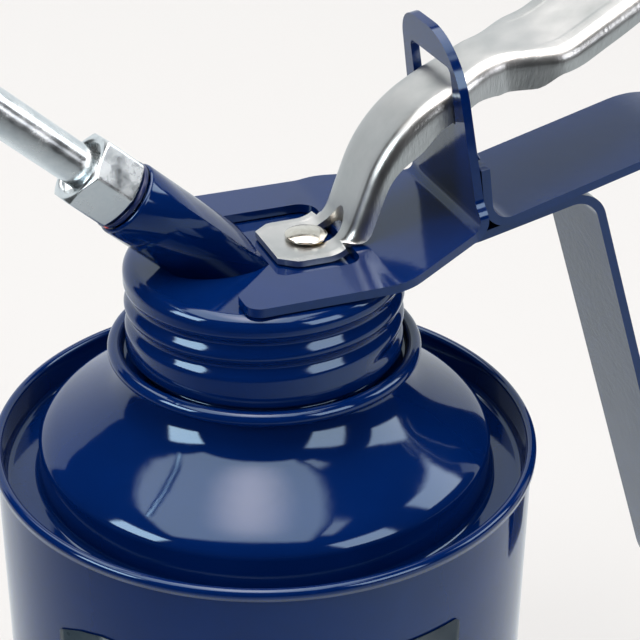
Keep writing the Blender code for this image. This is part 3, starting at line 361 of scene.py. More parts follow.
class Finish:
    """A Principled material with short calls for the nodes that vary it."""

    def __init__(self, name, colour, roughness, metallic=0.0):
        self.material = bpy.data.materials.new(name)
        self.material.use_nodes = True
        self.tree = self.material.node_tree
        self.shader = self.tree.nodes["Principled BSDF"]
        self.shader.inputs["Base Color"].default_value = (*colour, 1.0)
        self.shader.inputs["Roughness"].default_value = roughness
        self.shader.inputs["Metallic"].default_value = metallic
        self.place = self.tree.nodes.new("ShaderNodeTexCoord").outputs["Object"]
        self.bumps = None

    def stretched(self, scale, turn=(0.0, 0.0, 0.0)):
        """Object coordinates, scaled apart along the axes."""
        mapping = self.tree.nodes.new("ShaderNodeMapping")
        mapping.inputs["Scale"].default_value = scale
        mapping.inputs["Rotation"].default_value = turn
        self.tree.links.new(self.place, mapping.inputs["Vector"])
        return mapping.outputs["Vector"]

    def grain(self, scale, detail=2.0, roughness=0.5, where=None, distortion=0.0):
        node = self.tree.nodes.new("ShaderNodeTexNoise")
        node.inputs["Scale"].default_value = scale
        node.inputs["Detail"].default_value = detail
        node.inputs["Roughness"].default_value = roughness
        node.inputs["Distortion"].default_value = distortion
        self.tree.links.new(where or self.place, node.inputs["Vector"])
        return node.outputs["Fac"]

    def cells(self, scale, where=None):
        node = self.tree.nodes.new("ShaderNodeTexVoronoi")
        node.inputs["Scale"].default_value = scale
        self.tree.links.new(where or self.place, node.inputs["Vector"])
        return node

    def spread(self, value, low, high, to_low=0.0, to_high=1.0, smooth=False):
        """Maps a value from one range to another."""
        node = self.tree.nodes.new("ShaderNodeMapRange")
        if smooth:
            node.interpolation_type = "SMOOTHSTEP"
        for name, number in (("From Min", low), ("From Max", high), ("To Min", to_low), ("To Max", to_high)):
            node.inputs[name].default_value = number
        self.tree.links.new(value, node.inputs["Value"])
        return node.outputs["Result"]

    def on_sides(self, start, full):
        """1 where the object's Y is far from its middle, 0 near it."""
        parts = self.tree.nodes.new("ShaderNodeSeparateXYZ")
        self.tree.links.new(self.place, parts.inputs[0])
        away = self.tree.nodes.new("ShaderNodeMath")
        away.operation = "ABSOLUTE"
        self.tree.links.new(parts.outputs["Y"], away.inputs[0])
        return self.spread(away.outputs[0], start, full)

    def times(self, a, b):
        """Product of two values, either of which may be a plain number."""
        node = self.tree.nodes.new("ShaderNodeMath")
        node.operation = "MULTIPLY"
        for socket, value in zip(node.inputs, (a, b)):
            if isinstance(value, float):
                socket.default_value = value
            else:
                self.tree.links.new(value, socket)
        return node.outputs[0]

    def mix(self, amount, one, other):
        """A colour between two, by amount."""
        node = self.tree.nodes.new("ShaderNodeMix")
        node.data_type = "RGBA"
        self.tree.links.new(amount, node.inputs["Factor"])
        ports = [s for s in node.inputs if s.type == "RGBA"]
        for socket, value in zip(ports, (one, other)):
            if isinstance(value, tuple):
                socket.default_value = (*value, 1.0)
            else:
                self.tree.links.new(value, socket)
        return [s for s in node.outputs if s.type == "RGBA"][0]

    def set(self, name, value):
        self.tree.links.new(value, self.shader.inputs[name])

    def bump(self, height, distance, strength=1.0):
        node = self.tree.nodes.new("ShaderNodeBump")
        node.inputs["Strength"].default_value = strength
        node.inputs["Distance"].default_value = distance
        self.tree.links.new(height, node.inputs["Height"])
        if self.bumps:
            self.tree.links.new(self.bumps, node.inputs["Normal"])
        self.bumps = node.outputs["Normal"]
        self.tree.links.new(self.bumps, self.shader.inputs["Normal"])


NAVY = (0.0002, 0.0090, 0.066)
NAVY_THIN = (0.0004, 0.0118, 0.083)
DUST = (0.62, 0.63, 0.64)


def enamel(name, roughness=0.09, wave=0.00006, peel=0.0, dust=0.5):
    """Stoved navy enamel: runs and waves in the film, orange peel, and fine dust."""
    paint = Finish(name, NAVY, roughness)
    paint.shader.inputs["IOR"].default_value = 1.56
    paint.shader.inputs["Specular Tint"].default_value = (0.58, 0.80, 1.0, 1.0)
    film = paint.grain(55.0, 3.0, 0.55, distortion=0.4)
    tone = paint.mix(paint.spread(film, 0.35, 0.75), NAVY, NAVY_THIN)
    specks = paint.cells(620.0)
    small = paint.spread(specks.outputs["Distance"], 0.0, 0.11, 1.0, 0.0)
    patches = paint.grain(70.0, 2.0)
    chosen = paint.spread(specks.outputs["Color"], 0.955, 0.965)
    dusty = paint.times(paint.times(small, chosen), paint.spread(patches, 0.48, 0.62))
    dusty = paint.times(dusty, dust)
    paint.set("Base Color", paint.mix(dusty, tone, DUST))
    haze = paint.grain(140.0, 4.0, 0.6)
    paint.set("Roughness", paint.spread(haze, 0.3, 0.8, roughness, roughness * 2.2 + 0.02))
    paint.bump(film, wave)
    paint.bump(paint.grain(190.0, 2.0, 0.5, distortion=0.8), wave * 0.14)
    fine = paint.grain(520.0, 2.0)
    paint.bump(fine, 0.000004)
    if peel:
        paint.bump(paint.grain(900.0, 1.0), peel)
    return paint.material


def satin_nickel(name):
    """Pressed steel with a satin plate: long drawn grain and cloudy polish."""
    metal = Finish(name, (0.60, 0.61, 0.61), 0.3, 1.0)
    cloud = metal.grain(90.0, 4.0, 0.6)
    metal.set("Base Color", metal.mix(metal.spread(cloud, 0.35, 0.7), (0.47, 0.49, 0.49), (0.60, 0.61, 0.61)))
    drawn = metal.grain(1.0, 3.0, 0.6, where=metal.stretched((260.0, 1800.0, 260.0)))
    sheared = metal.grain(1.0, 3.0, 0.7, where=metal.stretched((2600.0, 30.0, 620.0), (0.0, 0.5, 0.0)))
    metal.bump(metal.times(sheared, metal.on_sides(5.4 * MM, 6.0 * MM)), 0.00006)
    metal.set("Roughness", metal.spread(cloud, 0.3, 0.75, 0.27, 0.40))
    metal.bump(drawn, 0.000012)
    metal.bump(metal.grain(700.0, 3.0), 0.000008)
    return metal.material


def plated(name, dark, light, low, high, grain_scale=300.0):
    """Bright plating with a cloudy film and a faint fine grain."""
    metal = Finish(name, light, low, 1.0)
    cloud = metal.grain(grain_scale, 4.0, 0.6)
    metal.set("Base Color", metal.mix(metal.spread(cloud, 0.35, 0.7), dark, light))
    metal.set("Roughness", metal.spread(cloud, 0.3, 0.75, low, high))
    metal.bump(metal.grain(grain_scale * 5.0, 2.0), 0.000006)
    return metal.material


def dull(name, dark, light, roughness, grain_scale, depth):
    """Felt, leather, rubber and fibre: a mottled colour and a soft grain."""
    stuff = Finish(name, light, roughness)
    mottle = stuff.grain(grain_scale, 5.0, 0.65)
    stuff.set("Base Color", stuff.mix(stuff.spread(mottle, 0.3, 0.7), dark, light))
    stuff.bump(mottle, depth)
    return stuff.material


def painted_fibre(name):
    """Red fibre washer painted over with the cap; the red shows in a fleck or two."""
    ring = Finish(name, NAVY, 0.3)
    chips = ring.spread(ring.grain(260.0, 1.0), 0.70, 0.72)
    ring.set("Base Color", ring.mix(chips, NAVY, (0.55, 0.03, 0.012)))
    ring.bump(ring.grain(900.0, 4.0), 0.00002)
    return ring.material


def sticker(name):
    """Bare dark grey film, a little rubbed."""
    film = Finish(name, (0.024, 0.038, 0.050), 0.36)
    film.shader.inputs["Specular IOR Level"].default_value = 0.3
    cloud = film.grain(60.0, 4.0, 0.6)
    film.set("Base Color", film.mix(film.spread(cloud, 0.3, 0.7), (0.018, 0.030, 0.041), (0.030, 0.046, 0.058)))
    film.set("Roughness", film.spread(cloud, 0.3, 0.7, 0.26, 0.42))
    film.bump(film.grain(500.0, 3.0), 0.00001)
    return film.material


# Can, shoulder and label

def make_can(material):
    top = SEAM_Z + 0.25 * MM
    inner = CAN_RADIUS - CAN_WALL
    middle = CAN_RADIUS - CAN_CORNER
    outside = [(CAN_RADIUS, top)] + arc((middle, CAN_CORNER), CAN_CORNER, 0, -90, 10) + [(0.0, 0.0)]
    inside = [(0.0, CAN_WALL)] + arc((middle, CAN_CORNER), CAN_CORNER - CAN_WALL, -90, 0, 10) + [(inner, top)]
    form = turned_form(inside + outside, 192)
    return finish_piece("can_shell", form, material, "can", ["can_body"])


def shoulder_profile():
    """Outer face of the pressed shoulder, from the mouth out to the seam's skirt."""
    seam_radius = CAN_RADIUS - CAN_WALL / 2
    collar_z = SEAM_Z + COLLAR_RISE
    collar_middle = COLLAR_RADIUS - COLLAR_BEAD
    foot = collar_z - COLLAR_BEAD * 0.7
    mouth = rounded([(MOUTH_RADIUS, MOUTH_TOP), (MOUTH_RADIUS, foot), (collar_middle - COLLAR_BEAD, foot),
                     (collar_middle - COLLAR_BEAD, collar_z)], [0.0, 0.5 * MM, 0.3 * MM, 0.0], step=radians(15.0))
    collar = arc((collar_middle, collar_z), COLLAR_BEAD, 180, -85, 20)
    dome = smooth_line([(radius * MM, SEAM_Z + rise * MM) for radius, rise in DOME_SECTION], 4)
    gutter_wall = seam_radius - SEAM_BEAD
    floor = SEAM_Z - GUTTER_DEPTH
    inner_bend = arc((DOME_RADIUS + GUTTER_CORNER, floor + GUTTER_CORNER), GUTTER_CORNER, 180, 270, 8)
    outer_bend = arc((gutter_wall - GUTTER_CORNER, floor + GUTTER_CORNER), GUTTER_CORNER, -90, 0, 8)
    bead = arc((seam_radius, SEAM_Z), SEAM_BEAD, 180, 0, 14)
    skirt = [(seam_radius + SEAM_BEAD, SEAM_Z - SEAM_SKIRT)]
    return mouth[:-1] + collar + dome + inner_bend + outer_bend + bead + skirt


def make_shoulder(material):
    form = turned_form(shoulder_profile(), 192)
    face = max(form.faces, key=lambda f: f.calc_center_median().z * (f.normal.z > 0.9 or f.normal.z < -0.9))
    if face.normal.z < 0.0:
        bmesh.ops.reverse_faces(form, faces=form.faces)
    piece = finish_piece("shoulder_pressing", form, material, "can", ["shoulder"], 60.0)
    sheet_wall(piece, SHEET, -1.0)
    return piece


def make_label(material):
    """Bare sticker on the wall, its corners a little rounded."""
    form = bmesh.new()
    columns = 64
    radius = CAN_RADIUS + JOINT_GAP / 2 + LABEL_SHEET / 2
    half = (LABEL_TO - LABEL_FROM) / 2 * radius
    flat = [(-half, -LABEL_HEIGHT), (-half, -LABEL_CUT_DROP), (LABEL_CUT - half, -0.35 * LABEL_CUT_DROP),
            (2 * LABEL_CUT - half, 0.0), (half, 0.0), (half, -LABEL_HEIGHT)]
    radii = [1.2 * MM, 0.6 * MM, 5 * MM, 4 * MM, 1.2 * MM, 1.2 * MM]
    loop = rounded(flat, radii, closed=True, step=radians(15.0))
    row = [form.verts.new((x, 0.0, z)) for x, z in loop]
    form.faces.new(row)
    for k in range(1, columns):
        x = -half + 2 * half * k / columns
        bmesh.ops.bisect_plane(form, geom=form.verts[:] + form.edges[:] + form.faces[:],
                               plane_co=(x, 0.0, 0.0), plane_no=(1.0, 0.0, 0.0))
    middle = (LABEL_FROM + LABEL_TO) / 2
    for vert in form.verts:
        angle = middle + vert.co.x / radius
        vert.co = (radius * cos(angle), radius * sin(angle), LABEL_TOP + vert.co.z)
    bmesh.ops.recalc_face_normals(form, faces=form.faces)
    piece = finish_piece("bare_sticker", form, material, "can", ["label"])
    sheet_wall(piece, LABEL_SHEET, 0.0)
    return piece


# Cap

def thread_groove(angle, height):
    """Depth of the rolled groove at one place on the skirt."""
    start = CAP_EDGE + THREAD_START_RISE
    depth = 0.0
    for turn in range(-1, int(THREAD_TURNS) + 2):
        along = (angle - THREAD_START) / (2 * pi) + turn
        if not 0.0 <= along <= THREAD_TURNS:
            continue
        offset = abs(height - start - THREAD_PITCH * along) / (THREAD_PITCH / 2)
        run_out = min(1.0, along / THREAD_RUN_OUT, (THREAD_TURNS - along) / THREAD_RUN_OUT)
        if offset < 1.0:
            depth = max(depth, THREAD_DEPTH * run_out * (0.5 + 0.5 * cos(pi * offset ** 0.85)))
    return depth


def make_cap(material):
    rim = CAP_RADIUS - CAP_CORNER
    inner = CAP_RADIUS - CAP_WALL
    thread_top = CAP_TOP - CAP_CORNER
    lip = 0.35 * MM
    rows = 96
    low = CAP_EDGE + lip
    skirt = [(CAP_RADIUS, thread_top + (low - thread_top) * k / rows) for k in range(1, rows + 1)]
    hem = arc((CAP_RADIUS - lip, low), lip, 0, -90, 4)[1:]
    section = [(0.0, CAP_TOP), (8 * MM, CAP_TOP), (rim, CAP_TOP)]
    section += arc((rim, thread_top), CAP_CORNER, 90, 0, 14)[1:] + skirt + hem
    section += [(inner, CAP_EDGE), (inner, CAP_TOP - CAP_CROWN), (0.0, CAP_TOP - CAP_CROWN)]
    form = turned_form(section, 288)
    for vert in form.verts:
        radius = hypot(vert.co.x, vert.co.y)
        if radius > CAP_RADIUS - JOINT_GAP and CAP_EDGE + lip < vert.co.z < thread_top:
            angle = atan2(vert.co.y, vert.co.x)
            pressed = (radius - thread_groove(angle, vert.co.z)) / radius
            vert.co.x *= pressed
            vert.co.y *= pressed
    piece = finish_piece("screw_cap", form, material, "cap_set", ["cap"])
    holes = []
    for name, x, radius in (("rod_hole", PUMP_X, 3.2 * MM), ("delivery_hole", SPOUT_FOOT_X, 2.4 * MM)):
        hole = bmesh.new()
        bmesh.ops.create_cone(hole, cap_ends=True, segments=48, radius1=radius, radius2=radius, depth=3 * MM)
        bmesh.ops.translate(hole, verts=hole.verts, vec=(x, 0.0, CAP_TOP))
        holes.append(add_cut(piece, hole, name))
    bake(piece, holes)
    return piece


# Spout

def make_boss(material):
    """Boss cut square to the cap below and on a slope towards the lever's foot."""
    foot = -BOSS_RADIUS / tan(SPOUT_ANGLE) - 1.0 * MM
    lip = 0.5 * MM
    profile = arc((BOSS_RADIUS - lip, BOSS_LENGTH - lip), lip, 90, 0, 5) + [(BOSS_RADIUS, foot)]
    form = turned_form(profile, 128)
    move_form(form, spout_frame(0.0))
    everything = form.verts[:] + form.edges[:] + form.faces[:]
    bmesh.ops.bisect_plane(form, geom=everything, plane_co=(0.0, 0.0, CAP_TOP + 0.05 * MM),
                           plane_no=(0.0, 0.0, -1.0), clear_outer=True)
    everything = form.verts[:] + form.edges[:] + form.faces[:]
    bmesh.ops.bisect_plane(form, geom=everything, plane_co=(BOSS_TRIM_X, 0.0, CAP_TOP),
                           plane_no=(sin(BOSS_TRIM_ANGLE), 0.0, cos(BOSS_TRIM_ANGLE)), clear_outer=True)
    face = max(form.faces, key=lambda f: f.calc_center_median().z)
    if face.normal.z < 0.0:
        bmesh.ops.reverse_faces(form, faces=form.faces)
    piece = finish_piece("spout_socket", form, material, "cap_set", ["spout_boss"])
    sheet_wall(piece, BOSS_RADIUS - BOSS_BORE, -1.0)
    return piece


def make_washer(material):
    ring = rounded([(TUBE_RADIUS + 0.3 * MM, WASHER), (BOSS_RADIUS - 0.35 * MM, WASHER),
                    (BOSS_RADIUS - 0.35 * MM, 0.0), (TUBE_RADIUS + 0.3 * MM, 0.0)],
                   [0.0, 0.2 * MM, 0.2 * MM, 0.0], closed=True, step=radians(30.0))
    form = turned_form(ring, 96, closed=True)
    move_form(form, spout_frame(BOSS_LENGTH + JOINT_GAP))
    return finish_piece("fibre_washer", form, material, "cap_set", ["nut_washer"])


def soft_min(a, b, width):
    return -width * log(exp(-a / width) + exp(-b / width))


def make_nut(material):
    """Hexagon nut: turned section held inside six flats with slightly rounded corners."""
    flat = NUT_CORNER_RADIUS * cos(pi / 6)
    crown = 0.75 * MM
    bore = TUBE_RADIUS + 0.25 * MM
    far = NUT_CORNER_RADIUS + 0.6 * MM
    side = [(far, NUT_LENGTH - crown + (2 * crown - NUT_LENGTH) * k / 30) for k in range(31)]
    steps = 10
    top = [(flat - 0.25 * MM + (far - flat + 0.25 * MM) * k / steps,
            NUT_LENGTH - crown * (k / steps) ** 1.3) for k in range(steps + 1)]
    foot = [(r, NUT_LENGTH - z) for r, z in reversed(top)]
    sink = [(bore, NUT_LENGTH - 1.6 * MM), (bore + 1.0 * MM, NUT_LENGTH - 1.0 * MM),
            (flat - 1.1 * MM, NUT_LENGTH - 0.2 * MM), (flat - 0.9 * MM, NUT_LENGTH)]
    profile = sink + top + side[1:-1] + foot + [(bore, 0.0)]
    form = turned_form(profile, 240, closed=True)
    start = pi / 2 + pi / 6 - NUT_TURN
    for vert in form.verts:
        radius = hypot(vert.co.x, vert.co.y)
        if radius < flat - 0.5 * MM:
            continue
        angle = atan2(vert.co.y, vert.co.x) - start
        wall = sum(abs(cos(angle + pi / 6 + k * pi / 3)) ** 70 for k in range(3)) ** (-1 / 70) * flat
        held = soft_min(radius, wall, 0.07 * MM) / radius
        vert.co.x *= held
        vert.co.y *= held
    move_form(form, spout_frame(BOSS_LENGTH + 2 * JOINT_GAP + WASHER))
    return finish_piece("hexagon_nut", form, material, "cap_set", ["spout_nut"], 50.0)


def make_tube(material):
    root = BOSS_LENGTH / 2
    top = root + TUBE_LENGTH
    lip = 0.3 * MM
    outside = rounded([(TIP_BORE, top), (TIP_RADIUS, top), (TUBE_RADIUS, top - TUBE_TAPER), (TUBE_RADIUS, root)],
                      [0.0, lip, 60 * MM, 0.0], step=radians(6.0))
    inside = [(TUBE_BORE, root), (TUBE_BORE, top - TUBE_TAPER)]
    form = turned_form(outside + inside, 96, closed=True)
    move_form(form, spout_frame(0.0))
    return finish_piece("spout_pipe", form, material, "cap_set", ["spout_tube"])


# Bracket: a flat blank, bent along its side view

def upright_point(up, back=0.0):
    """A point on the upright, up from its foot and back from its front face."""
    foot_z = PLATE_TOP + (UPRIGHT_X - RAMP_START_X) * tan(RAMP_ANGLE)
    return (UPRIGHT_X - up * sin(UPRIGHT_LEAN) + back * cos(UPRIGHT_LEAN),
            foot_z + up * cos(UPRIGHT_LEAN) + back * sin(UPRIGHT_LEAN))


def lengths(path):
    """Length along the path at each of its points."""
    total = [0.0]
    for a, b in zip(path, path[1:]):
        total.append(total[-1] + (Vector(b) - Vector(a)).length)
    return total


def bend_form(form, path):
    """Bends a flat form, whose x is the length along the path, onto an XZ path."""
    total = lengths(path)
    for along in total[1:-1]:
        bmesh.ops.bisect_plane(form, geom=form.verts[:] + form.edges[:] + form.faces[:],
                               plane_co=(along, 0.0, 0.0), plane_no=(1.0, 0.0, 0.0), dist=0.0000005)
    for vert in form.verts:
        along = min(max(vert.co.x, 0.0), total[-1])
        k = next(i for i in range(1, len(total)) if along <= total[i] + 1e-9)
        part = (along - total[k - 1]) / (total[k] - total[k - 1])
        a, b = path[k - 1], path[k]
        vert.co.x = a[0] + (b[0] - a[0]) * part
        vert.co.z = a[1] + (b[1] - a[1]) * part


def fill_loops(form, loops):
    for loop in loops:
        row = [form.verts.new((x, y, 0.0)) for x, y in loop]
        for a, b in zip(row, row[1:] + row[:1]):
            form.edges.new((a, b))
    bmesh.ops.triangle_fill(form, use_beauty=True, use_dissolve=False, edges=form.edges[:])


def make_bracket(material):
    half = PLATE / 2
    corner_x = UPRIGHT_X + half / cos(UPRIGHT_LEAN)
    corner_z = PLATE_TOP - half / cos(RAMP_ANGLE) + (corner_x - RAMP_START_X) * tan(RAMP_ANGLE)
    corners = [(FORK_FRONT_X, PLATE_TOP - half), (RAMP_START_X, PLATE_TOP - half), (corner_x, corner_z),
               upright_point(UPRIGHT_HEIGHT, half)]
    path = rounded(corners, [0.0, 12 * MM, BEND_RADIUS + half, 0.0], step=radians(2.0))
    total = lengths(path)

    def at_x(x):
        for k in range(1, len(path)):
            if path[k][0] >= x:
                part = (x - path[k - 1][0]) / (path[k][0] - path[k - 1][0])
                return total[k - 1] + (total[k] - total[k - 1]) * part

    def at_up(up):
        return total[-1] - UPRIGHT_HEIGHT + up

    sill_up = (PLATE_TOP + WINDOW_SILL - upright_point(0.0)[1]) / cos(UPRIGHT_LEAN)
    near = [(0.0, SLOT_HALF_WIDTH + ARM_BEVEL), (0.0, FORK_HALF_WIDTH), (at_x(TAPER_START_X), FORK_HALF_WIDTH),
            (at_x(UPRIGHT_X - 0.5 * MM), RAMP_FOOT_HALF_WIDTH), (at_up(UPRIGHT_STEP), RAMP_FOOT_HALF_WIDTH),
            (at_up(UPRIGHT_STEP + 2 * UPRIGHT_STEP_BEVEL), UPRIGHT_FOOT_HALF_WIDTH),
            (at_up(UPRIGHT_HEIGHT), UPRIGHT_TOP_HALF_WIDTH)]
    far = [(x, -y) for x, y in reversed(near)]
    slot = [(ARM_BEVEL, -SLOT_HALF_WIDTH), (at_x(SLOT_END_X), -SLOT_HALF_WIDTH),
            (at_x(SLOT_END_X), SLOT_HALF_WIDTH), (ARM_BEVEL, SLOT_HALF_WIDTH)]
    side = [0.6 * MM, FORK_CORNER, 8 * MM, 6 * MM, 2.4 * MM, 2.4 * MM]
    radii = side + [UPRIGHT_CORNER, UPRIGHT_ROUND_CORNER] + side[::-1]
    radii += [SLOT_LIP_CORNER, SLOT_CORNER, SLOT_CORNER, SLOT_LIP_CORNER]
    outline = rounded(near + far + slot, radii, closed=True, step=radians(6.0))
    sill, head = at_up(sill_up), at_up(sill_up + WINDOW_HEIGHT / cos(UPRIGHT_LEAN))
    window = rounded([(sill, -WINDOW_HALF_WIDTH), (head, -WINDOW_HALF_WIDTH), (head, WINDOW_HALF_WIDTH),
                      (sill, WINDOW_HALF_WIDTH)], [SILL_CORNER, WINDOW_CORNER, WINDOW_CORNER, SILL_CORNER],
                     closed=True, step=radians(8.0))
    form = bmesh.new()
    fill_loops(form, [outline, window])
    bend_form(form, path)
    face_up(form)
    piece = finish_piece("bent_bracket", form, material, "cap_set", ["bracket"], 60.0)
    sheet_wall(piece, PLATE, 0.0)
    soft_edges(piece, 0.42 * MM)
    return piece


def face_up(form):
    bmesh.ops.recalc_face_normals(form, faces=form.faces)
    lowest = min(form.faces, key=lambda f: f.calc_center_median().z)
    if lowest.normal.z < 0.0:
        bmesh.ops.reverse_faces(form, faces=form.faces)


# Handle

def handle_path():
    """The strip's middle line: leg on the upright, top run, grip, inner run, lower run."""
    middle = PLATE + JOINT_GAP + STRIP / 2
    ramp_drop = middle / cos(RAMP_ANGLE) + TONGUE_DROP

    def under_ramp(x):
        return PLATE_TOP + (x - RAMP_START_X) * tan(RAMP_ANGLE) - ramp_drop

    root = (UPRIGHT_X + PLATE, under_ramp(UPRIGHT_X + PLATE))
    tongue_x = UPRIGHT_X - TONGUE
    leg_x = upright_point(0.0, middle)[0]
    leg_low = (leg_x, under_ramp(leg_x) + STRIP + TOP_RUN_RISE)
    grip_top = Vector((GRIP_X, leg_low[1] + (GRIP_X - leg_low[0]) * tan(TOP_RUN_ANGLE)))
    down = Vector((sin(GRIP_LEAN), -cos(GRIP_LEAN)))
    inward = Vector((-cos(GRIP_LEAN), -sin(GRIP_LEAN))) * GRIP_WIDTH
    low = grip_top + down * GRIP_LENGTH
    across = grip_top + inward
    rise = tan(LOWER_RUN_ANGLE)
    gain = (root[1] + (across.x - root[0]) * rise - across.y) / (down.y - rise * down.x)
    inner_top = across + down * gain
    corners = [upright_point(LEG_TOP, middle), leg_low, tuple(grip_top), tuple(low), tuple(low + inward),
               tuple(inner_top), root, (tongue_x, under_ramp(tongue_x))]
    turn = GRIP_WIDTH / 2
    return rounded(corners, [0.0, LEG_BEND, GRIP_BEND, turn, turn, LOWER_BEND, 10 * MM, 0.0], step=radians(3.0))


def strip_half_widths(path):
    """Full width on the leg and the top run, easing down the grip to the low width."""
    highest = max(range(len(path)), key=lambda k: path[k][1])
    lowest = min(range(len(path)), key=lambda k: path[k][1])
    stops = [(path[lowest][1], STRIP_LOW_HALF_WIDTH), (path[highest][1], STRIP_HALF_WIDTH)]
    widths = []
    for k, (x, z) in enumerate(path):
        if k < highest:
            widths.append(STRIP_HALF_WIDTH)
        elif k > lowest:
            widths.append(STRIP_LOW_HALF_WIDTH)
        else:
            widths.append(blend_stops(stops, z))
    return widths


def make_handle(material):
    form = bmesh.new()
    path = [tuple(point) for point in resample(handle_path(), 3 * MM)]
    row = [form.verts.new((x, -half, z)) for (x, z), half in zip(path, strip_half_widths(path))]
    edges = [form.edges.new(pair) for pair in zip(row, row[1:])]
    for item in bmesh.ops.extrude_edge_only(form, edges=edges)["geom"]:
        if isinstance(item, bmesh.types.BMVert):
            item.co.y = -item.co.y
    bmesh.ops.recalc_face_normals(form, faces=form.faces)
    piece = finish_piece("strip_handle", form, material, "cap_set", ["handle_loop"], 60.0)
    sheet_wall(piece, STRIP, 0.0)
    soft_edges(piece, 0.4 * MM)
    return piece


def make_weld(material):
    """Uneven bead along the top of the handle's leg."""
    x, z = upright_point(LEG_TOP + WELD_RADIUS + JOINT_GAP, PLATE + JOINT_GAP + WELD_RADIUS)
    form = bmesh.new()
    bmesh.ops.create_cone(form, cap_ends=False, segments=20, radius1=WELD_RADIUS, radius2=WELD_RADIUS,
                          depth=2 * WELD_HALF_LENGTH)
    for k in range(1, 60):
        height = -WELD_HALF_LENGTH + 2 * WELD_HALF_LENGTH * k / 60
        bmesh.ops.bisect_plane(form, geom=form.verts[:] + form.edges[:] + form.faces[:],
                               plane_co=(0.0, 0.0, height), plane_no=(0.0, 0.0, 1.0))
    for vert in form.verts:
        end = 1.0 - (abs(vert.co.z) / WELD_HALF_LENGTH) ** 6
        lump = 0.82 + 0.28 * noise.noise(Vector((vert.co.x * 900, vert.co.y * 900, vert.co.z * 700)))
        vert.co.x *= lump * end
        vert.co.y *= lump * end
    bmesh.ops.remove_doubles(form, verts=form.verts, dist=0.00001)
    bmesh.ops.recalc_face_normals(form, faces=form.faces)
    move_form(form, Matrix.Translation((x, 0.0, z)) @ Matrix.Rotation(pi / 2, 4, "X"))
    return finish_piece("weld_bead", form, material, "cap_set", ["leg_weld"], 80.0)


# Lever

def lever_section(half_width, depth, fold):
    """Half of the channel's section: (y, drop) points from the middle of the web outwards."""
    flat = half_width - LEVER_EDGE_RADIUS
    points = [(flat * k / 4, 0.0) for k in range(5)]
    for k in range(1, 9):
        turn = fold * k / 8
        points.append((flat + LEVER_EDGE_RADIUS * sin(turn), LEVER_EDGE_RADIUS * (1.0 - cos(turn))))
    rest = depth - LEVER_EDGE_RADIUS
    y, drop = points[-1]
    points += [(y + rest * cos(fold) * k / 4, drop + rest * sin(fold) * k / 4) for k in range(1, 5)]
    return points


def make_lever(material):
    fold_start = LEVER_KNEES[0][0] * MM - FOLD_LEAD
    fold_end = fold_start + FOLD_RUN
    half_widths = [(x * MM, value * MM) for x, value in LEVER_HALF_WIDTHS]
    depths = [(x * MM, value * MM) for x, value in LEVER_DEPTHS]
    corners = [(FOOT_FRONT_X, FOOT_TOP)] + [(x * MM, FOOT_TOP + rise * MM) for x, rise, _ in LEVER_KNEES]
    corners.append((PAD_END[0] * MM, FOOT_TOP + PAD_END[1] * MM))
    radii = [0.0] + [radius * MM for _, _, radius in LEVER_KNEES] + [0.0]
    path = resample(rounded(corners, radii, step=radians(2.0)), 0.9 * MM)
    form = bmesh.new()
    rows = []
    for i, point in enumerate(path):
        ahead = path[min(i + 1, len(path) - 1)] - path[max(i - 1, 0)]
        heading = ahead.normalized()
        down = Vector((heading.y, -heading.x))
        fold = blend_stops([(fold_start, radians(5.0)), (fold_end, pi / 2)], point.x)
        section = lever_section(blend_stops(half_widths, point.x), blend_stops(depths, point.x), fold)
        if point.x < fold_start:
            wide = FOOT_FRONT_HALF_WIDTH + (FOOT_HALF_WIDTH - FOOT_FRONT_HALF_WIDTH) * min(
                1.0, (point.x - FOOT_FRONT_X) / FOOT_BEVEL)
            section = [(y * wide / section[-1][0], drop) for y, drop in section]
        half = [(-y, drop) for y, drop in reversed(section[1:])] + section
        row = [form.verts.new((point.x + down.x * drop, y, point.y + down.y * drop)) for y, drop in half]
        rows.append([form.edges.new(pair) for pair in zip(row, row[1:])])
    for low, high in zip(rows, rows[1:]):
        bmesh.ops.bridge_loops(form, edges=low + high)
    face_up(form)
    piece = finish_piece("channel_lever", form, material, "lever", ["thumb_lever"], 60.0)
    sheet_wall(piece, LEVER_SHEET, -1.0)
    bake(piece, [add_cut(piece, slot_cutter(), "rod_slot")])
    soft_edges(piece, 0.16 * MM, 2, 50.0)
    return piece


def slot_cutter():
    """Round-ended slot through the foot and the root of the web."""
    half = LEVER_SLOT_HALF_WIDTH
    corners = [(LEVER_SLOT_FRONT_X, -half), (LEVER_SLOT_BACK_X, -half), (LEVER_SLOT_BACK_X, half),
               (LEVER_SLOT_FRONT_X, half)]
    form = bmesh.new()
    row = [form.verts.new((x, y, FOOT_TOP - 8 * MM))
           for x, y in rounded(corners, [half * 0.95] * 4, closed=True, step=radians(6.0))]
    face = form.faces.new(row)
    made = bmesh.ops.extrude_face_region(form, geom=[face])["geom"]
    moved = [item for item in made if isinstance(item, bmesh.types.BMVert)]
    bmesh.ops.translate(form, verts=moved, vec=(0.0, 0.0, 16 * MM))
    return form


# Pull rod

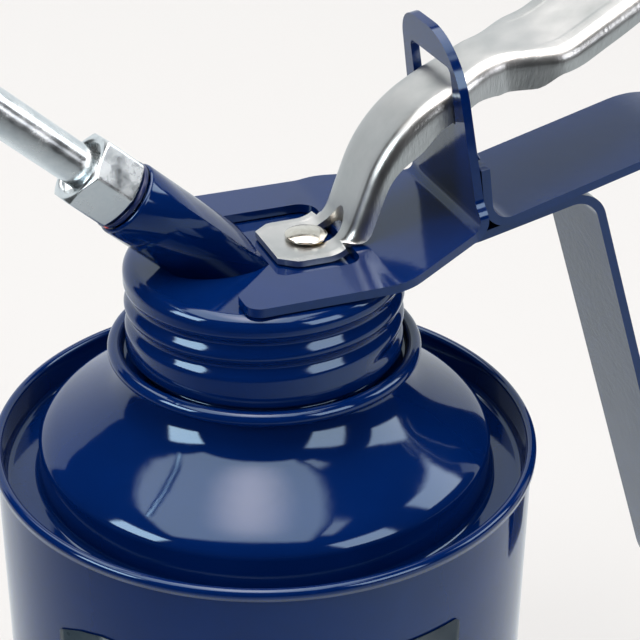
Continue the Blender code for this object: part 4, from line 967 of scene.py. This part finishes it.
def make_rod(material):
    edge = HEAD_BOTTOM + HEAD_EDGE
    sphere = (HEAD_RADIUS ** 2 + HEAD_DOME ** 2) / (2 * HEAD_DOME)
    dome = []
    for k in range(24):
        r = (HEAD_RADIUS - 0.2 * MM) * k / 23
        dome.append((r, edge + HEAD_DOME - sphere + (sphere ** 2 - r ** 2) ** 0.5))
    rim = rounded([dome[-1], (HEAD_RADIUS, edge), (HEAD_RADIUS, HEAD_BOTTOM), (ROD_RADIUS, HEAD_BOTTOM),
                   (ROD_RADIUS, ROD_BOTTOM), (0.0, ROD_BOTTOM)],
                  [0.0, 0.12 * MM, 0.1 * MM, 0.1 * MM, 0.2 * MM, 0.0], step=radians(20.0))
    form = turned_form(dome + rim[1:], 96)
    bmesh.ops.translate(form, verts=form.verts, vec=(PUMP_X, 0.0, 0.0))
    return finish_piece("pull_rod", form, material, "pump_rod", ["plunger_rod"])


def make_spring(material):
    """Return spring in the barrel: a copy of the CAD's wire."""
    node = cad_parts["pump_spring"]
    form = bmesh.new()
    form.from_mesh(node.data)
    move_form(form, node.matrix_world)
    piece = finish_piece("return_spring", form, material, "cap_set", ["pump_spring"])
    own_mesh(piece)


# Studio

def glow_floor():
    """Pale floor: its white is partly given off to the camera; in reflections it darkens towards the front."""
    material = bpy.data.materials.new("pale_floor")
    material.use_nodes = True
    tree = material.node_tree
    tree.nodes.clear()

    def node(kind, operation=None, **values):
        made = tree.nodes.new("ShaderNode" + kind)
        if operation:
            made.operation = operation
        for name, value in values.items():
            port = made.inputs[int(name[1:])] if name[1:].isdigit() else made.inputs[name.replace("_", " ")]
            if isinstance(value, bpy.types.NodeSocket):
                tree.links.new(value, port)
            else:
                port.default_value = value
        return made

    ray = node("LightPath")
    back = Vector((sin(CAMERA_HEADING), cos(CAMERA_HEADING), 0.0))
    right = Vector((back.y, -back.x, 0.0))
    along = node("VectorMath", "DOT_PRODUCT", i0=node("NewGeometry").outputs["Position"], i1=back + right * 0.6)
    fade = node("MapRange", Value=along.outputs["Value"], From_Min=-0.30, From_Max=-0.02, To_Min=0.03, To_Max=1.0)
    mirrored = node("Math", "MULTIPLY", i0=ray.outputs["Is Glossy Ray"], i1=fade.outputs["Result"])
    level = node("Math", "MAXIMUM", i0=ray.outputs["Is Camera Ray"], i1=mirrored.outputs[0])
    seen = node("Math", "MULTIPLY", i0=ray.outputs["Is Camera Ray"], i1=0.8)
    share = node("Math", "MAXIMUM", i0=seen.outputs[0], i1=ray.outputs["Is Glossy Ray"])
    lit = node("BsdfDiffuse", Color=(0.78, 0.78, 0.78, 1.0))
    given = node("Emission", Color=(0.81, 0.81, 0.80, 1.0), Strength=level.outputs[0])
    cool = node("Emission", Color=(0.84, 0.88, 0.90, 1.0), Strength=level.outputs[0])
    given = node("MixShader", i0=ray.outputs["Is Glossy Ray"], i1=given.outputs[0], i2=cool.outputs[0])
    mix = node("MixShader", i0=share.outputs[0], i1=lit.outputs[0], i2=given.outputs[0])
    node("OutputMaterial", Surface=mix.outputs[0])
    return material


def make_floor():
    """Floor that sweeps up behind the can and ends a little in front of it."""
    form = bmesh.new()
    side = 2.4
    back = rounded([(FLOOR_FRONT, 0.0), (1.3, 0.0), (1.3, 1.25)], [0.0, 0.35, 0.0], step=radians(6.0))
    row = [form.verts.new((-side, y, z)) for y, z in back]
    edges = [form.edges.new(pair) for pair in zip(row, row[1:])]
    made = bmesh.ops.extrude_edge_only(form, edges=edges)["geom"]
    moved = [item for item in made if isinstance(item, bmesh.types.BMVert)]
    bmesh.ops.translate(form, verts=moved, vec=(2 * side, 0.0, 0.0))
    bmesh.ops.rotate(form, verts=form.verts, cent=(0.0, 0.0, 0.0),
                     matrix=Matrix.Rotation(-CAMERA_HEADING, 3, "Z"))
    face_up(form)
    mesh = bpy.data.meshes.new("sweep")
    form.to_mesh(mesh)
    form.free()
    mesh.shade_smooth()
    mesh.materials.append(glow_floor())
    floor = bpy.data.objects.new("sweep", mesh)
    bpy.context.scene.collection.objects.link(floor)


def soften(light, softness):
    """Fades a lamp's brightness towards its edges, over a share of its width."""
    light.use_nodes = True
    tree = light.node_tree
    place = tree.nodes.new("ShaderNodeNewGeometry").outputs["Parametric"]
    parts = tree.nodes.new("ShaderNodeSeparateXYZ")
    tree.links.new(place, parts.inputs[0])
    both = tree.nodes.new("ShaderNodeMath")
    both.operation = "MULTIPLY"
    for k in range(2):
        middle = tree.nodes.new("ShaderNodeMath")
        middle.operation = "SUBTRACT"
        middle.inputs[1].default_value = 0.5
        tree.links.new(parts.outputs[k], middle.inputs[0])
        far = tree.nodes.new("ShaderNodeMath")
        far.operation = "ABSOLUTE"
        tree.links.new(middle.outputs[0], far.inputs[0])
        edge = tree.nodes.new("ShaderNodeMapRange")
        edge.interpolation_type = "SMOOTHSTEP"
        for port, value in (("From Min", 0.5 - softness), ("From Max", 0.5), ("To Min", 1.0), ("To Max", 0.0)):
            edge.inputs[port].default_value = value
        tree.links.new(far.outputs[0], edge.inputs["Value"])
        tree.links.new(edge.outputs["Result"], both.inputs[k])
    tree.links.new(both.outputs[0], tree.nodes["Emission"].inputs["Strength"])


def add_lamp(name, width, height, level, colour, softness):
    """Rectangular lamp; level is its brightness."""
    light = bpy.data.lights.new(name, "AREA")
    light.shape = "RECTANGLE"
    light.size = width
    light.size_y = height
    light.energy = level * pi * width * height
    light.color = colour
    soften(light, softness)
    lamp = bpy.data.objects.new(name, light)
    bpy.context.scene.collection.objects.link(lamp)
    return lamp


def softbox(name, azimuth, elevation, width, height, level, colour=(1.0, 1.0, 1.0), roll=0.0):
    """A lamp seen from the can at an azimuth and elevation; all angles in degrees, its sizes too."""
    distance = LAMP_DISTANCE
    reach = [2 * distance * tan(radians(angle / 2)) for angle in (width, height)]
    lamp = add_lamp(name, reach[0], reach[1], level, colour, 0.12)
    a, e = radians(azimuth), radians(elevation)
    away = Vector((cos(e) * cos(a), cos(e) * sin(a), sin(e)))
    lamp.location = Vector((0.0, 0.0, 0.1)) + away * distance
    facing = away.to_track_quat("Z", "Y").to_matrix()
    lamp.rotation_euler = (facing @ Matrix.Rotation(radians(roll), 3, "Z")).to_euler()


def overhead_box(name, right, back, width, depth, level, colour=(1.0, 1.0, 1.0), softness=0.15, height=1.1):
    """A level lamp above the can, placed in the camera's right and back directions as shares of its height."""
    lamp = add_lamp(name, width * height, depth * height, level, colour, softness)
    turn = Matrix.Rotation(-CAMERA_HEADING, 3, "Z")
    lamp.location = turn @ Vector((right * height, back * height, 0.0)) + Vector((0.0, 0.0, 0.1 + height))
    lamp.rotation_euler = turn.to_euler()


def make_studio():
    make_floor()
    overhead_box("overhead", -0.21, 0.16, 1.16, 1.58, 3.8, (1.0, 0.97, 0.94), 0.08)
    overhead_box("overhead_bright", -0.08, 0.0, 0.58, 1.25, 7.2, (1.0, 0.66, 0.56), 0.5, 1.0)
    overhead_box("overhead_right", 0.40, -0.28, 0.20, 0.40, 3.8, (1.0, 0.94, 0.88), 0.3)
    softbox("left_box", -174.5, 27.5, 27.0, 22.0, 11.5, (0.90, 0.97, 1.0))
    softbox("front_right_box", -61.0, 27.5, 29.0, 32.0, 5.8, (0.99, 0.97, 1.0))
    softbox("right_box", -7.0, 34.0, 26.0, 24.0, 5.2, (0.98, 0.98, 1.0), -20.0)
    world = bpy.data.worlds.new("studio_air")
    bpy.context.scene.world = world
    world.use_nodes = True
    tree = world.node_tree
    tree.nodes["Background"].inputs["Color"].default_value = (0.9, 0.94, 1.0, 1.0)
    tree.nodes["Background"].inputs["Strength"].default_value = 0.02


def make_camera():
    data = bpy.data.cameras.new("camera")
    data.lens = CAMERA_LENS
    data.sensor_width = 36.0
    data.clip_start = 0.01
    camera = bpy.data.objects.new("camera", data)
    turn = Matrix.Rotation(-CAMERA_HEADING, 4, "Z") @ Matrix.Rotation(pi / 2 - CAMERA_DOWN, 4, "X")
    camera.matrix_world = Matrix.Translation(CAMERA_AT) @ turn @ Matrix.Rotation(CAMERA_ROLL, 4, "Z")
    bpy.context.scene.collection.objects.link(camera)
    bpy.context.scene.camera = camera


def repaint(node, material):
    """Gives a CAD node that stays its own finish."""
    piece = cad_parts[node]
    piece.data.materials.clear()
    piece.data.materials.append(material)


def main():
    bpy.context.scene.view_settings.view_transform = "Standard"
    make_camera()
    make_studio()

    can_paint = enamel("can_enamel", 0.04, 0.00005)
    cap_paint = enamel("cap_enamel", 0.05, 0.00006)
    plate_paint = enamel("plate_enamel", 0.07, 0.00007, 0.000006)
    strip_paint = enamel("strip_enamel", 0.10, 0.00006, 0.00003, 0.3)
    nickel = satin_nickel("lever_nickel")
    zinc = plated("nut_zinc", (0.66, 0.71, 0.74), (0.86, 0.90, 0.91), 0.16, 0.34)
    bright = plated("rod_nickel", (0.60, 0.57, 0.50), (0.80, 0.77, 0.70), 0.10, 0.26, 400.0)
    brass = plated("pump_brass", (0.50, 0.34, 0.12), (0.68, 0.48, 0.20), 0.2, 0.4)
    steel = plated("spring_steel", (0.35, 0.36, 0.37), (0.52, 0.53, 0.54), 0.25, 0.4)
    fibre = painted_fibre("washer_fibre")
    rubber = dull("gasket_rubber", (0.012, 0.012, 0.012), (0.03, 0.03, 0.03), 0.7, 600.0, 0.00001)
    felt = dull("packing_felt", (0.30, 0.27, 0.22), (0.50, 0.46, 0.38), 0.95, 1400.0, 0.00006)
    leather = dull("cup_leather", (0.12, 0.055, 0.025), (0.26, 0.13, 0.06), 0.6, 800.0, 0.00004)

    make_can(can_paint)
    make_shoulder(can_paint)
    make_label(sticker("sticker_film"))
    make_cap(cap_paint)
    make_boss(cap_paint)
    make_washer(fibre)
    make_nut(zinc)
    make_tube(zinc)
    make_bracket(plate_paint)
    make_handle(strip_paint)
    make_weld(plate_paint)
    make_lever(nickel)
    make_rod(bright)
    make_spring(steel)

    repaint("cap_gasket", rubber)
    repaint("gland_packing", felt)
    repaint("piston_cup", leather)
    for node in ("gland_bush", "pump_barrel", "delivery_tube", "foot_valve_body", "ball_stop", "suction_tube",
                 "inlet_strainer", "piston", "piston_nut"):
        repaint(node, brass)
    repaint("foot_ball", steel)


main()
